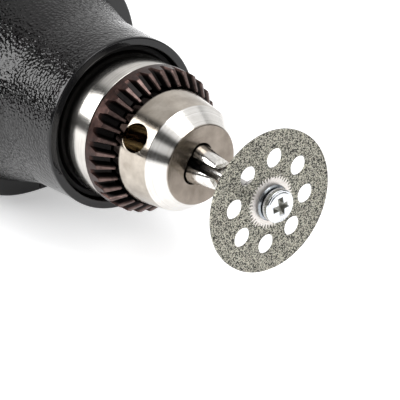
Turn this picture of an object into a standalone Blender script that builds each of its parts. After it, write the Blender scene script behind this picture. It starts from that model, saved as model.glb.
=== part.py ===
"""Rotary hobby tool with a keyed three-jaw chuck and a cutting disc, for Blender 4.5.

Places along the tool (names ending in _S) are measured from the front face of the nose
collar, forward positive. The tool_axis empty turns its own Z to world +X, so in its space
Z runs forward, Y runs to the left and X runs down.
"""
import math

import bmesh
import bpy
from mathutils import Matrix, Vector

MM = 0.001
GAP = 0.3 * MM          # clearance between pieces that touch
CUT = 1.0 * MM          # how far a cutter reaches past the surface it opens
FULL_TURN = 2 * math.pi
FINE_STEPS = 40         # facets round the pieces that show
PLAIN_STEPS = 20        # facets round the pieces inside
HOLE_STEPS = 14         # facets round small holes, pins and balls

# Keyed chuck
CHUCK_BACK_S = -10.0 * MM
CHUCK_FRONT_R = 10.5 * MM
CHUCK_TAIL_STEP = 0.5 * MM
CHUCK_TAIL_R = CHUCK_FRONT_R - CHUCK_TAIL_STEP
NUT_BACK_S = 2.0 * MM
NUT_FRONT_S = 6.0 * MM
NUT_PROUD = 0.4 * MM                    # the nut stands this proud of the chuck body
NUT_R = CHUCK_FRONT_R + NUT_PROUD
CHUCK_SHOULDER_S = 12.6 * MM
CHUCK_TAPER_R = 9.6 * MM
CHUCK_TAPER_S = 18.7 * MM
CHUCK_NOSE_R = 7.15 * MM
CHUCK_NOSE_S = 22.0 * MM
CHUCK_BORE_R = 3.2 * MM
CHUCK_BORE_FLOOR_S = -0.5 * MM
KEY_HOLE_R = 2.6 * MM
KEY_HOLE_S = 15.0 * MM
KEY_HOLE_FLOOR = 5.2 * MM
SLEEVE_WALL = 1.8 * MM
SLEEVE_BORE_R = NUT_R + GAP
SLEEVE_R = SLEEVE_BORE_R + SLEEVE_WALL
SLEEVE_BACK_S = -8.0 * MM
SLEEVE_EDGE = 0.5 * MM
GEAR_LIP = 0.15 * MM                    # the gear ring stands this proud of the sleeve
GEAR_R = SLEEVE_R + GEAR_LIP
GEAR_BORE_R = CHUCK_FRONT_R + GAP
GEAR_BACK_S = 6.5 * MM
GEAR_BAND_S = 9.5 * MM
GEAR_FRONT_S = 12.1 * MM
GEAR_TIP_WALL = 0.3 * MM
GEAR_TIP_R = GEAR_BORE_R + GEAR_TIP_WALL
GEAR_TEETH = 32
GEAR_GAP_WIDTH = 1.7 * MM               # at the top of the gap
GEAR_GAP_FLOOR = 0.6 * MM
GEAR_GAP_DEPTH = 0.95 * MM
JAW_COUNT = 3
JAW_FIRST_ANGLE = math.radians(90)      # from the left (+Y) towards the top
JAW_TILT = math.radians(11)
JAW_R = 2.0 * MM
JAW_SLOT = 1.8 * MM                     # between neighbouring jaws as they hold the shank
JAW_TIP_S = 27.5 * MM
JAW_TIP_OFFSET = 0.65 * MM              # bore axis off the chuck axis at the jaw tips
JAW_TIP_R = 2.2 * MM
JAW_BACK_S = 4.0 * MM
JAW_FLAT = 1.0 * MM                     # threaded flat off the jaw's own axis
JAW_TRAVEL = 9.0 * MM

# Housing: nose, two half shells and the cord gland
AXIS_HEIGHT = 23.2 * MM         # axis above the floor, half the width over the flats
DUST_RING_R = SLEEVE_R + GAP
DUST_RING_WALL = 0.9 * MM
DUST_RING_FRONT_S = -1.2 * MM
COLLAR_WALL = 1.5 * MM
COLLAR_BORE_R = DUST_RING_R + DUST_RING_WALL + GAP
COLLAR_R = COLLAR_BORE_R + COLLAR_WALL
COLLAR_RIM = 0.3 * MM
COLLAR_BACK_S = -3.0 * MM
RECESS_FLOOR_S = -11.0 * MM
NECK_SWELL = 0.5 * MM
NECK_R = COLLAR_R + NECK_SWELL
NECK_S = -13.0 * MM
FLARE_POWER = 1.25
FLARE_POINTS = 8
SHOULDER_S = -27.0 * MM
SHAFT_HOLE_R = 7.5 * MM
FAN_R = 16.5 * MM
FAN_CLEARANCE = 1.3 * MM
FAN_ROOM_R = FAN_R + FAN_CLEARANCE
SPIGOT_WALL = 1.8 * MM
SPIGOT_R = FAN_ROOM_R + SPIGOT_WALL
GROOVE_DEPTH = 0.9 * MM
GROOVE_R = SPIGOT_R - GROOVE_DEPTH
SPIGOT_STEP = 0.6 * MM
SHOULDER_R = SPIGOT_R + SPIGOT_STEP
FAN_ROOM_S = -22.0 * MM
SPIGOT_BACK_S = -33.2 * MM
GROOVE_FRONT_S = -29.2 * MM
GROOVE_BACK_S = -31.4 * MM
FLAT_CUT = 1.3 * MM             # the flats cut this much off the round
SHELL_R = AXIS_HEIGHT + FLAT_CUT
SHELL_SWELL = 1.0 * MM
SHELL_FRONT_R = SHELL_R - SHELL_SWELL
SHELL_SWELL_S = -40.0 * MM
SHELL_TAIL_S = -128.0 * MM
SHELL_BACK_S = -147.0 * MM
SHELL_TAIL_DROP = 7.5 * MM
SHELL_BACK_R = SHELL_R - SHELL_TAIL_DROP
SHELL_ROUND_POINTS = 6
SHELL_WALL = 4.2 * MM
CAVITY_R = SHELL_R - SHELL_WALL
CAVITY_BACK_S = -144.0 * MM
BULKHEAD_FRONT_S = -95.5 * MM
BULKHEAD_BACK_S = -99.5 * MM
GLAND_BORE_R = 3.2 * MM
GLAND_NECK_R = 4.9 * MM
GLAND_FLANGE_R = 7.5 * MM
GLAND_FLANGE = 3.4 * MM
GLAND_BOOT_R = 6.6 * MM
GLAND_TIP_R = 4.6 * MM
GLAND_LIP = 2.0 * MM
GLAND_BACK_S = -168.0 * MM

# Housing screws and their bosses: (place along the axis, height over the axis)
BOSS_INSET = 2.3 * MM           # boss middles off the cavity's wall
BULKHEAD_BOSS_INSET = 5.3 * MM
TAIL_BOSS_INSET = 6.3 * MM
SCREW_PLACES = (
    (-37.8 * MM, CAVITY_R - BOSS_INSET),
    (-37.8 * MM, BOSS_INSET - CAVITY_R),
    (-75.0 * MM, CAVITY_R - BOSS_INSET),
    (-75.0 * MM, BOSS_INSET - CAVITY_R),
    (-97.5 * MM, CAVITY_R - BULKHEAD_BOSS_INSET),
    (-128.0 * MM, TAIL_BOSS_INSET - CAVITY_R),
)
BOSS_R = 3.4 * MM
SCREW_R = 1.2 * MM
SCREW_HEAD_R = 2.2 * MM
SCREW_HEAD = 1.8 * MM
SCREW_SEAT_Y = 10.0 * MM
SCREW_TIP_Y = 7.0 * MM

# Vent slots in both flanks: (first place, last place, heights over the axis)
VENT_HALF_HEIGHT = 0.8 * MM
VENT_ROWS = (
    (-45.0 * MM, -37.0 * MM, (-8.0 * MM, -4.0 * MM, 0.0, 4.0 * MM, 8.0 * MM)),
    (-122.0 * MM, -108.0 * MM, (-10.0 * MM, -6.0 * MM, -2.0 * MM, 2.0 * MM)),
)
VENT_REACH = 5.3 * MM           # slots reach this far inside the cavity's wall
VENT_INNER_Y = CAVITY_R - VENT_REACH

# Motor: shaft, bearings, armature, field, fan and commutator
THREAD_R = 3.7 * MM
THREAD_FRONT_S = -3.3 * MM
JOURNAL_R = 4.0 * MM
JOURNAL_FRONT_S = -13.6 * MM
JOURNAL_BACK_S = -21.5 * MM
SHAFT_R = 3.5 * MM
SHAFT_STEP_S = -91.0 * MM
TAIL_R = 2.5 * MM
SHAFT_BACK_S = -102.0 * MM
BEARING_WIDTH = 6.0 * MM
CAGE = 0.5 * MM
FRONT_BEARING_S = -21.0 * MM
FRONT_RACES = (5.3 * MM, 8.0 * MM, 9.5 * MM)
FRONT_BALLS = 9
REAR_BEARING_S = -100.0 * MM
REAR_RACES = (3.9 * MM, 6.7 * MM, 8.0 * MM)
REAR_BALLS = 7
SEAT_SIDE_WALL = 1.7 * MM
SEAT_R = REAR_RACES[2] + GAP + SEAT_SIDE_WALL
SEAT_FRONT_S = -93.7 * MM
SEAT_WALL = 1.5 * MM
FAN_HUB_R = 6.0 * MM
FAN_FRONT_S = -23.0 * MM
FAN_BACK_S = -30.0 * MM
FAN_PLATE = 1.2 * MM
FAN_BLADES = 9
FAN_BLADE = 1.0 * MM
FAN_BLADE_ROOT_R = 7.5 * MM
CORE_FRONT_S = -42.0 * MM
CORE_BACK_S = -70.0 * MM
ARMATURE_R = 11.6 * MM
ARMATURE_SLOTS = 12
ARMATURE_SLOT_R = 1.2 * MM
ARMATURE_SLOT_SKIN = 1.0 * MM
ARMATURE_SLOT_PITCH_R = ARMATURE_R - ARMATURE_SLOT_R - ARMATURE_SLOT_SKIN
WINDING_R = 10.5 * MM
WINDING_LENGTH = 5.2 * MM
WINDING_ROUND = 1.6 * MM
FIELD_R = CAVITY_R - GAP
FIELD_BORE_R = 12.3 * MM
FIELD_HALF_HEIGHT = 14.2 * MM
COIL_INSET = 4.5 * MM           # coil legs off the core's outside
COIL_Y = FIELD_R - COIL_INSET
COIL_HALF_HEIGHT = 7.5 * MM
COIL_R = 2.0 * MM
COIL_END = 3.6 * MM
COIL_CORNER = 2.5 * MM
COMMUTATOR_R = 8.5 * MM
RISER_R = 9.5 * MM
RISER = 1.5 * MM
COMMUTATOR_FRONT_S = -78.0 * MM
COMMUTATOR_BACK_S = -90.0 * MM

# Brush gear on both flanks
BRUSH_S = -84.0 * MM
BRUSH_HALF_LENGTH = 2.9 * MM
BRUSH_HALF_HEIGHT = 1.9 * MM
BRUSH_OUTER_Y = 14.5 * MM
HOLDER_INNER_Y = 9.8 * MM
HOLDER_WALL = 0.9 * MM
SPRING_R = 1.4 * MM
SPRING_WIRE_R = 0.25 * MM
SPRING_TURNS = 5
SPRING_TURN_POINTS = 8
BRUSH_CAP_R = 4.7 * MM
BRUSH_CAP_SINK = 0.4 * MM
BRUSH_CAP = 2.2 * MM
BRUSH_CAP_SEAT = 1.2 * MM
BRUSH_CAP_OUTER_Y = AXIS_HEIGHT - BRUSH_CAP_SINK
BRUSH_CAP_INNER_Y = BRUSH_CAP_OUTER_Y - BRUSH_CAP
HOLDER_OUTER_Y = BRUSH_CAP_INNER_Y - BRUSH_CAP_SEAT
CAP_SLOT = 1.0 * MM

# Controls on the top line
SLIDER_TRAVEL = 5.0 * MM
SLIDER_OFF_S = -113.5 * MM
SLIDER_STEM = (5.0 * MM, 3.0 * MM)          # half length, half width
SLIDER_FLANGE = (6.0 * MM, 4.2 * MM)
SLIDER_CAP = (10.5 * MM, 5.0 * MM)
SLIDER_FLANGE_DROP = 1.3 * MM
SLIDER_FLANGE_THICK = 2.2 * MM
SLIDER_FLANGE_TOP = CAVITY_R - SLIDER_FLANGE_DROP
SLIDER_FLANGE_Z = (SLIDER_FLANGE_TOP - SLIDER_FLANGE_THICK, SLIDER_FLANGE_TOP)
SLIDER_CAP_HEIGHT = 2.6 * MM
SLIDER_RIBS = 5
SLIDER_RIB = 0.8 * MM
SLIDER_RIB_PITCH = 2.4 * MM
DIAL_S = -132.5 * MM
DIAL_R = 8.6 * MM
DIAL_PROUD = 1.4 * MM           # its rim shows above the flat
DIAL_Z = AXIS_HEIGHT + DIAL_PROUD - DIAL_R
DIAL_HALF_WIDTH = 2.3 * MM
DIAL_NOTCHES = 24
DIAL_NOTCH_R = 0.6 * MM
DIAL_PIN_R = 1.8 * MM
DIAL_SLOT_HALF_LENGTH = 7.9 * MM
DIAL_SLOT_HALF_WIDTH = 2.8 * MM
POT_INNER_Y = 3.0 * MM
POT_OUTER_Y = 7.0 * MM
POT_HALF_LENGTH = 5.0 * MM
POT_ROOF = 2.5 * MM
POT_TOP_Z = DIAL_Z + POT_ROOF
BOARD_FRONT_S = -105.0 * MM
BOARD_BACK_S = -138.5 * MM
BOARD_HALF_WIDTH = 13.0 * MM
BOARD_THICK = 1.6 * MM
BOARD_DROP = 0.8 * MM           # board's top under the dial
BOARD_Z = DIAL_Z - DIAL_R - BOARD_DROP - BOARD_THICK
MODULE_FRONT_S = -105.5 * MM
MODULE_BACK_S = -122.0 * MM
MODULE_HALF_WIDTH = 6.0 * MM

# Mandrel and cutting disc
SHANK_R = 1.175 * MM
SHANK_BACK_S = 9.0 * MM
MANDREL_HEAD_R = 2.2 * MM
MANDREL_HEAD_S = 35.0 * MM
MANDREL_FLANGE_R = 3.4 * MM
MANDREL_FLANGE_S = 38.2 * MM
DISC_S = 40.0 * MM
DISC_R = 12.5 * MM
DISC_THICK = 0.6 * MM
DISC_HOLES = 8
DISC_HOLE_R = 1.75 * MM
DISC_HOLE_PITCH_R = 7.6 * MM
DISC_HOLE_ANGLE = math.radians(39)
WASHER_R = 3.5 * MM
WASHER_THICK = 0.5 * MM
ARBOR_SCREW_R = 0.8 * MM
ARBOR_SCREW_BACK_S = 36.0 * MM
ARBOR_HEAD_R = 2.8 * MM
ARBOR_HEAD = 1.6 * MM
ARBOR_HEAD_ROUND = 0.5 * MM

# Stack of the mandrel's front end, each piece a gap ahead of the one behind it
DISC_BACK_S = DISC_S - DISC_THICK / 2
DISC_FRONT_S = DISC_S + DISC_THICK / 2
MANDREL_FRONT_S = DISC_BACK_S - GAP
WASHER_S = DISC_FRONT_S + GAP
ARBOR_HEAD_S = WASHER_S + WASHER_THICK + GAP
TOOL_FRONT_S = ARBOR_HEAD_S + ARBOR_HEAD
ARBOR_BORE_R = ARBOR_SCREW_R + GAP
COLLAR_X = -(TOOL_FRONT_S + GLAND_BACK_S) / 2

# Colours are linear RGB; the last two values are roughness and metallic
FINISHES = {
    "nose_plastic": ((0.022, 0.021, 0.020), 0.55, 0.0),
    "shell_plastic": ((0.026, 0.026, 0.027), 0.45, 0.0),
    "rubber": ((0.012, 0.012, 0.012), 0.80, 0.0),
    "chuck_steel": ((0.62, 0.60, 0.56), 0.25, 1.0),
    "gear_oxide": ((0.085, 0.050, 0.042), 0.45, 0.7),
    "jaw_steel": ((0.45, 0.43, 0.40), 0.30, 1.0),
    "zinc": ((0.66, 0.68, 0.72), 0.22, 1.0),
    "diamond_grit": ((0.27, 0.25, 0.21), 0.75, 0.4),
    "black_screw": ((0.05, 0.05, 0.05), 0.40, 0.8),
    "bearing_steel": ((0.55, 0.55, 0.56), 0.20, 1.0),
    "shaft_steel": ((0.50, 0.50, 0.51), 0.30, 1.0),
    "lamination": ((0.20, 0.20, 0.21), 0.50, 0.9),
    "copper": ((0.60, 0.22, 0.09), 0.35, 1.0),
    "fan_nylon": ((0.10, 0.10, 0.10), 0.50, 0.0),
    "brass": ((0.58, 0.42, 0.15), 0.30, 1.0),
    "carbon": ((0.02, 0.02, 0.022), 0.65, 0.1),
    "board": ((0.03, 0.12, 0.05), 0.50, 0.0),
    "switch_grey": ((0.12, 0.12, 0.13), 0.50, 0.0),
}

for old in list(bpy.data.objects):
    bpy.data.objects.remove(old, do_unlink=True)

tool_parts = bpy.data.collections.new("rotary_tool")
tool_cutters = bpy.data.collections.new("cutters")
for collection in (tool_parts, tool_cutters):
    bpy.context.scene.collection.children.link(collection)

tool_axis = bpy.data.objects.new("tool_axis", None)
tool_axis.location = (COLLAR_X, 0, AXIS_HEIGHT)
tool_axis.rotation_euler = (0, math.pi / 2, 0)
tool_parts.objects.link(tool_axis)


def finish(name):
    """Return the Principled material of that finish, made once."""
    material = bpy.data.materials.get(name)
    if material is None:
        material = bpy.data.materials.new(name)
        material.use_nodes = True
        colour, roughness, metallic = FINISHES[name]
        shader = material.node_tree.nodes["Principled BSDF"]
        shader.inputs["Base Color"].default_value = (*colour, 1.0)
        shader.inputs["Roughness"].default_value = roughness
        shader.inputs["Metallic"].default_value = metallic
    return material


def add_object(name, data, finish_name=None, parent=tool_axis):
    """Link an object on the tool's axis: a part if it has a finish, else a cutter."""
    obj = bpy.data.objects.new(name, data)
    obj.parent = parent
    if finish_name is None:
        obj.hide_render = True
        obj.display_type = "WIRE"
        tool_cutters.objects.link(obj)
    else:
        data.materials.append(finish(finish_name))
        tool_parts.objects.link(obj)
    return obj


def from_bmesh(name, bm, finish_name=None, parent=tool_axis):
    """Turn a finished bmesh into an object."""
    mesh = bpy.data.meshes.new(name)
    bm.to_mesh(mesh)
    bm.free()
    return add_object(name, mesh, finish_name, parent)


def turned(name, outline, finish_name=None, steps=PLAIN_STEPS):
    """Spin a (radius, place) outline round the axis; it runs backwards on its outer side."""
    points = [(radius, 0, place) for radius, place in outline]
    edges = [(index, index + 1) for index in range(len(points) - 1)]
    if outline[0][0] > 0:
        edges.append((len(points) - 1, 0))
    mesh = bpy.data.meshes.new(name)
    mesh.from_pydata(points, edges, [])
    obj = add_object(name, mesh, finish_name)
    screw = obj.modifiers.new("turn", "SCREW")
    screw.axis = "Z"
    screw.angle = FULL_TURN
    screw.steps = screw.render_steps = steps
    screw.use_merge_vertices = True
    screw.merge_threshold = 0.01 * MM
    return obj


def ring(name, inner_r, outer_r, back, front, finish_name, steps=PLAIN_STEPS):
    """Turn a plain ring between two places on the axis."""
    outline = [(inner_r, front), (outer_r, front), (outer_r, back), (inner_r, back)]
    return turned(name, outline, finish_name, steps)


def local(place, left, up):
    """Point in the axis empty's space from its place, its left and its upward offset."""
    return Vector((-up, left, place))


def add_box(bm, places, lefts, ups):
    """Add a box between pairs of places, left offsets and upward offsets."""
    low = local(places[0], lefts[0], ups[0])
    high = local(places[1], lefts[1], ups[1])
    size = Vector([abs(value) for value in high - low])
    matrix = Matrix.Translation((low + high) / 2) @ Matrix.Diagonal((*size, 1))
    bmesh.ops.create_cube(bm, size=1, matrix=matrix)


def add_rod(bm, radius, start, end, steps=HOLE_STEPS):
    """Add a capped cylinder between two points."""
    run = end - start
    matrix = Matrix.Translation((start + end) / 2) @ run.to_track_quat("Z", "Y").to_matrix().to_4x4()
    bmesh.ops.create_cone(
        bm, cap_ends=True, segments=steps, radius1=radius, radius2=radius, depth=run.length, matrix=matrix
    )


def boolean(obj, cutter, operation="DIFFERENCE"):
    """Cut, join or trim an object with another one."""
    modifier = obj.modifiers.new(cutter.name, "BOOLEAN")
    modifier.object = cutter
    modifier.operation = operation
    modifier.solver = "EXACT"


def turn_round(angle):
    """Rotation about the axis that brings local X to an angle, left (+Y) towards the top."""
    return Matrix.Rotation(angle + math.pi / 2, 4, "Z")


def build_nose():
    """Moulded nose: round collar with a deep recess, flared to the shoulder of the body."""
    flare = []
    for index in range(FLARE_POINTS + 1):
        share = index / FLARE_POINTS
        radius = NECK_R + (SHOULDER_R - NECK_R) * share ** FLARE_POWER
        flare.append((radius, NECK_S + (SHOULDER_S - NECK_S) * share))
    bearing_r = FRONT_RACES[2] + GAP
    lip_s = FRONT_BEARING_S + BEARING_WIDTH + GAP
    outline = [
        (COLLAR_BORE_R, -COLLAR_RIM),
        (COLLAR_BORE_R + COLLAR_RIM / 2, 0),
        (COLLAR_R - COLLAR_RIM, 0),
        (COLLAR_R, -COLLAR_RIM),
        (COLLAR_R, COLLAR_BACK_S),
        *flare,
        (SPIGOT_R, SHOULDER_S),
        (SPIGOT_R, GROOVE_FRONT_S),
        (GROOVE_R, GROOVE_FRONT_S),
        (GROOVE_R, GROOVE_BACK_S),
        (SPIGOT_R, GROOVE_BACK_S),
        (SPIGOT_R, SPIGOT_BACK_S),
        (FAN_ROOM_R, SPIGOT_BACK_S),
        (FAN_ROOM_R, FAN_ROOM_S),
        (bearing_r, FAN_ROOM_S),
        (bearing_r, lip_s),
        (SHAFT_HOLE_R, lip_s),
        (SHAFT_HOLE_R, RECESS_FLOOR_S),
        (COLLAR_BORE_R, RECESS_FLOOR_S),
    ]
    turned("nose_housing", outline, "nose_plastic", FINE_STEPS)
    ring("dust_ring", DUST_RING_R, COLLAR_BORE_R - GAP, RECESS_FLOOR_S + GAP, DUST_RING_FRONT_S,
         "rubber", FINE_STEPS)


def shell_cavity():
    """Room inside both half shells, with the screw bosses left standing in it."""
    front = SHOULDER_S + CUT
    spigot_room = SPIGOT_R + GAP
    bead_r = GROOVE_R + GAP
    seat_room = SEAT_R + GAP
    gland_room = GLAND_NECK_R + GAP
    end = SHELL_BACK_S - CUT
    outline = [
        (0, front),
        (spigot_room, front),
        (spigot_room, GROOVE_FRONT_S - GAP),
        (bead_r, GROOVE_FRONT_S - GAP),
        (bead_r, GROOVE_BACK_S + GAP),
        (spigot_room, GROOVE_BACK_S + GAP),
        (spigot_room, SPIGOT_BACK_S - GAP),
        (CAVITY_R, SPIGOT_BACK_S - GAP),
        (CAVITY_R, BULKHEAD_FRONT_S),
        (seat_room, BULKHEAD_FRONT_S),
        (seat_room, BULKHEAD_BACK_S),
        (CAVITY_R, BULKHEAD_BACK_S),
        (CAVITY_R, CAVITY_BACK_S),
        (gland_room, CAVITY_BACK_S),
        (gland_room, end),
        (0, end),
    ]
    cavity = turned("cavity_cutter", outline, steps=FINE_STEPS)
    bosses = bmesh.new()
    for place, up in SCREW_PLACES:
        add_rod(bosses, BOSS_R, local(place, -SHELL_R, up), local(place, SHELL_R, up))
    boolean(cavity, from_bmesh("boss_cutter", bosses))
    return cavity


def shell_openings():
    """Vent slots, brush ports and the slots of the slider and the dial."""
    bm = bmesh.new()
    outside = SHELL_R + CUT
    for side in (-1, 1):
        for back, front, heights in VENT_ROWS:
            for up in heights:
                ups = (up - VENT_HALF_HEIGHT, up + VENT_HALF_HEIGHT)
                add_box(bm, (back, front), (side * VENT_INNER_Y, side * outside), ups)
        port = (local(BRUSH_S, side * HOLDER_OUTER_Y, 0), local(BRUSH_S, side * outside, 0))
        add_rod(bm, BRUSH_CAP_R + GAP, *port, PLAIN_STEPS)
    stem_length, stem_width = SLIDER_STEM
    ups = (SLIDER_FLANGE_Z[0], outside)
    slot = (SLIDER_OFF_S - stem_length - GAP, SLIDER_OFF_S + SLIDER_TRAVEL + stem_length + GAP)
    add_box(bm, slot, (-stem_width - GAP, stem_width + GAP), ups)
    dial_slot = (DIAL_S - DIAL_SLOT_HALF_LENGTH, DIAL_S + DIAL_SLOT_HALF_LENGTH)
    add_box(bm, dial_slot, (-DIAL_SLOT_HALF_WIDTH, DIAL_SLOT_HALF_WIDTH), ups)
    return from_bmesh("opening_cutter", bm)


def build_shells():
    """Left and right half shells of the body, flat on four sides so that it lies still."""
    tail = []
    for index in range(SHELL_ROUND_POINTS + 1):
        share = index / SHELL_ROUND_POINTS
        drop = 1 - math.sqrt(1 - share ** 2)
        radius = SHELL_R + (SHELL_BACK_R - SHELL_R) * drop
        tail.append((radius, SHELL_TAIL_S + (SHELL_BACK_S - SHELL_TAIL_S) * share))
    front = SHOULDER_S - GAP
    outline = [(0, front), (SHELL_FRONT_R, front), (SHELL_R, SHELL_SWELL_S), *tail, (0, SHELL_BACK_S)]
    cavity = shell_cavity()
    openings = shell_openings()
    for name, side in (("housing_left", 1), ("housing_right", -1)):
        shell = turned(name, outline, "shell_plastic", FINE_STEPS)
        half = bmesh.new()
        add_box(half, (SHELL_BACK_S - CUT, SHOULDER_S), (side * GAP / 2, side * AXIS_HEIGHT),
                (-AXIS_HEIGHT, AXIS_HEIGHT))
        boolean(shell, from_bmesh(name + "_trim", half), "INTERSECT")
        boolean(shell, cavity)
        boolean(shell, openings)
        holes = bmesh.new()
        seats = bmesh.new()
        for place, up in SCREW_PLACES:
            end = SCREW_TIP_Y + GAP if side > 0 else -SCREW_SEAT_Y - CUT
            add_rod(holes, SCREW_R + GAP, local(place, -side * CUT, up), local(place, end, up))
            add_rod(seats, SCREW_HEAD_R + GAP, local(place, -SCREW_SEAT_Y, up), local(place, -SHELL_R, up))
        boolean(shell, from_bmesh(name + "_holes", holes))
        if side < 0:
            boolean(shell, from_bmesh(name + "_seats", seats))
        else:
            seats.free()


def build_housing_screws():
    """Six screws that draw the right shell to the left one."""
    outline = [
        (0, SCREW_HEAD),
        (SCREW_HEAD_R, SCREW_HEAD),
        (SCREW_HEAD_R, 0),
        (SCREW_R, 0),
        (SCREW_R, -SCREW_SEAT_Y - GAP - SCREW_TIP_Y),
        (0, -SCREW_SEAT_Y - GAP - SCREW_TIP_Y),
    ]
    for index, (place, up) in enumerate(SCREW_PLACES):
        screw = turned("housing_screw_" + str(index + 1), outline, "black_screw", HOLE_STEPS)
        screw.location = local(place, -SCREW_SEAT_Y - GAP, up)
        screw.rotation_euler = (math.pi / 2, 0, 0)


def build_gland():
    """Rubber bend protector, its flange held between the rear walls of the shells."""
    flange_back = CAVITY_BACK_S + GAP
    boot_front = SHELL_BACK_S - GAP
    outline = [
        (GLAND_BORE_R, flange_back + GLAND_FLANGE),
        (GLAND_FLANGE_R, flange_back + GLAND_FLANGE),
        (GLAND_FLANGE_R, flange_back),
        (GLAND_NECK_R, flange_back),
        (GLAND_NECK_R, boot_front),
        (GLAND_BOOT_R, boot_front),
        (GLAND_BOOT_R, boot_front - GLAND_LIP),
        (GLAND_TIP_R, GLAND_BACK_S),
        (GLAND_BORE_R, GLAND_BACK_S),
    ]
    turned("cord_gland", outline, "rubber")


def build_bearing(name, back, bore_r, races, count):
    """Ball bearing: inner ring, outer ring and the balls in their cage."""
    inner_r, outer_r, rim_r = races
    front = back + BEARING_WIDTH
    ring(name + "_inner", bore_r, inner_r, back, front, "bearing_steel")
    ring(name + "_outer", outer_r, rim_r, back, front, "bearing_steel")
    pitch_r = (inner_r + outer_r) / 2
    ball_r = (outer_r - inner_r) / 2 - GAP
    bm = bmesh.new()
    for index in range(count):
        place = turn_round(FULL_TURN * index / count) @ Vector((pitch_r, 0, back + BEARING_WIDTH / 2))
        bmesh.ops.create_uvsphere(
            bm, u_segments=8, v_segments=5, radius=ball_r, matrix=Matrix.Translation(place)
        )
    middle = back + BEARING_WIDTH / 2
    cage = ring(name + "_cage", pitch_r - CAGE / 2, pitch_r + CAGE / 2, middle - CAGE, middle + CAGE,
                "brass")
    boolean(cage, from_bmesh(name + "_ball_joiner", bm), "UNION")


def build_rotor():
    """Shaft with the armature, commutator and fan."""
    outline = [
        (0, THREAD_FRONT_S),
        (THREAD_R, THREAD_FRONT_S),
        (THREAD_R, JOURNAL_FRONT_S),
        (JOURNAL_R, JOURNAL_FRONT_S),
        (JOURNAL_R, JOURNAL_BACK_S),
        (SHAFT_R, JOURNAL_BACK_S),
        (SHAFT_R, SHAFT_STEP_S),
        (TAIL_R, SHAFT_STEP_S),
        (TAIL_R, SHAFT_BACK_S),
        (0, SHAFT_BACK_S),
    ]
    turned("armature_shaft", outline, "shaft_steel")
    bore_r = SHAFT_R + GAP
    core = ring("armature_core", bore_r, ARMATURE_R, CORE_BACK_S, CORE_FRONT_S, "lamination", FINE_STEPS)
    slots = bmesh.new()
    for index in range(ARMATURE_SLOTS):
        turn = turn_round(FULL_TURN * index / ARMATURE_SLOTS)
        start = turn @ Vector((ARMATURE_SLOT_PITCH_R, 0, CORE_BACK_S - CUT))
        end = turn @ Vector((ARMATURE_SLOT_PITCH_R, 0, CORE_FRONT_S + CUT))
        add_rod(slots, ARMATURE_SLOT_R, start, end, 10)
    boolean(core, from_bmesh("armature_slot_cutter", slots))
    ends = (("front", CORE_FRONT_S + GAP), ("rear", CORE_BACK_S - GAP - WINDING_LENGTH))
    for name, back in ends:
        front = back + WINDING_LENGTH
        turned("armature_winding_" + name, [
            (bore_r, front),
            (WINDING_R - WINDING_ROUND, front),
            (WINDING_R, front - WINDING_ROUND),
            (WINDING_R, back + WINDING_ROUND),
            (WINDING_R - WINDING_ROUND, back),
            (bore_r, back),
        ], "copper")
    riser_s = COMMUTATOR_FRONT_S - RISER
    turned("commutator", [
        (bore_r, COMMUTATOR_FRONT_S),
        (RISER_R, COMMUTATOR_FRONT_S),
        (RISER_R, riser_s),
        (COMMUTATOR_R, riser_s),
        (COMMUTATOR_R, COMMUTATOR_BACK_S),
        (bore_r, COMMUTATOR_BACK_S),
    ], "copper")
    build_fan(bore_r)


def build_fan(bore_r):
    """Radial fan: hub and plate in one, with straight blades on the plate."""
    plate_s = FAN_BACK_S + FAN_PLATE
    fan = turned("cooling_fan", [
        (bore_r, FAN_FRONT_S),
        (FAN_HUB_R, FAN_FRONT_S),
        (FAN_HUB_R, plate_s),
        (FAN_R, plate_s),
        (FAN_R, FAN_BACK_S),
        (bore_r, FAN_BACK_S),
    ], "fan_nylon", FINE_STEPS)
    blades = bmesh.new()
    root_s = FAN_BACK_S + FAN_PLATE / 2
    size = (FAN_R - GAP - FAN_BLADE_ROOT_R, FAN_BLADE, FAN_FRONT_S - root_s)
    middle = Vector((FAN_R - GAP - size[0] / 2, 0, root_s + size[2] / 2))
    for index in range(FAN_BLADES):
        turn = turn_round(FULL_TURN * index / FAN_BLADES)
        matrix = turn @ Matrix.Translation(middle) @ Matrix.Diagonal((*size, 1))
        bmesh.ops.create_cube(blades, size=1, matrix=matrix)
    boolean(fan, from_bmesh("blade_joiner", blades), "UNION")


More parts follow.
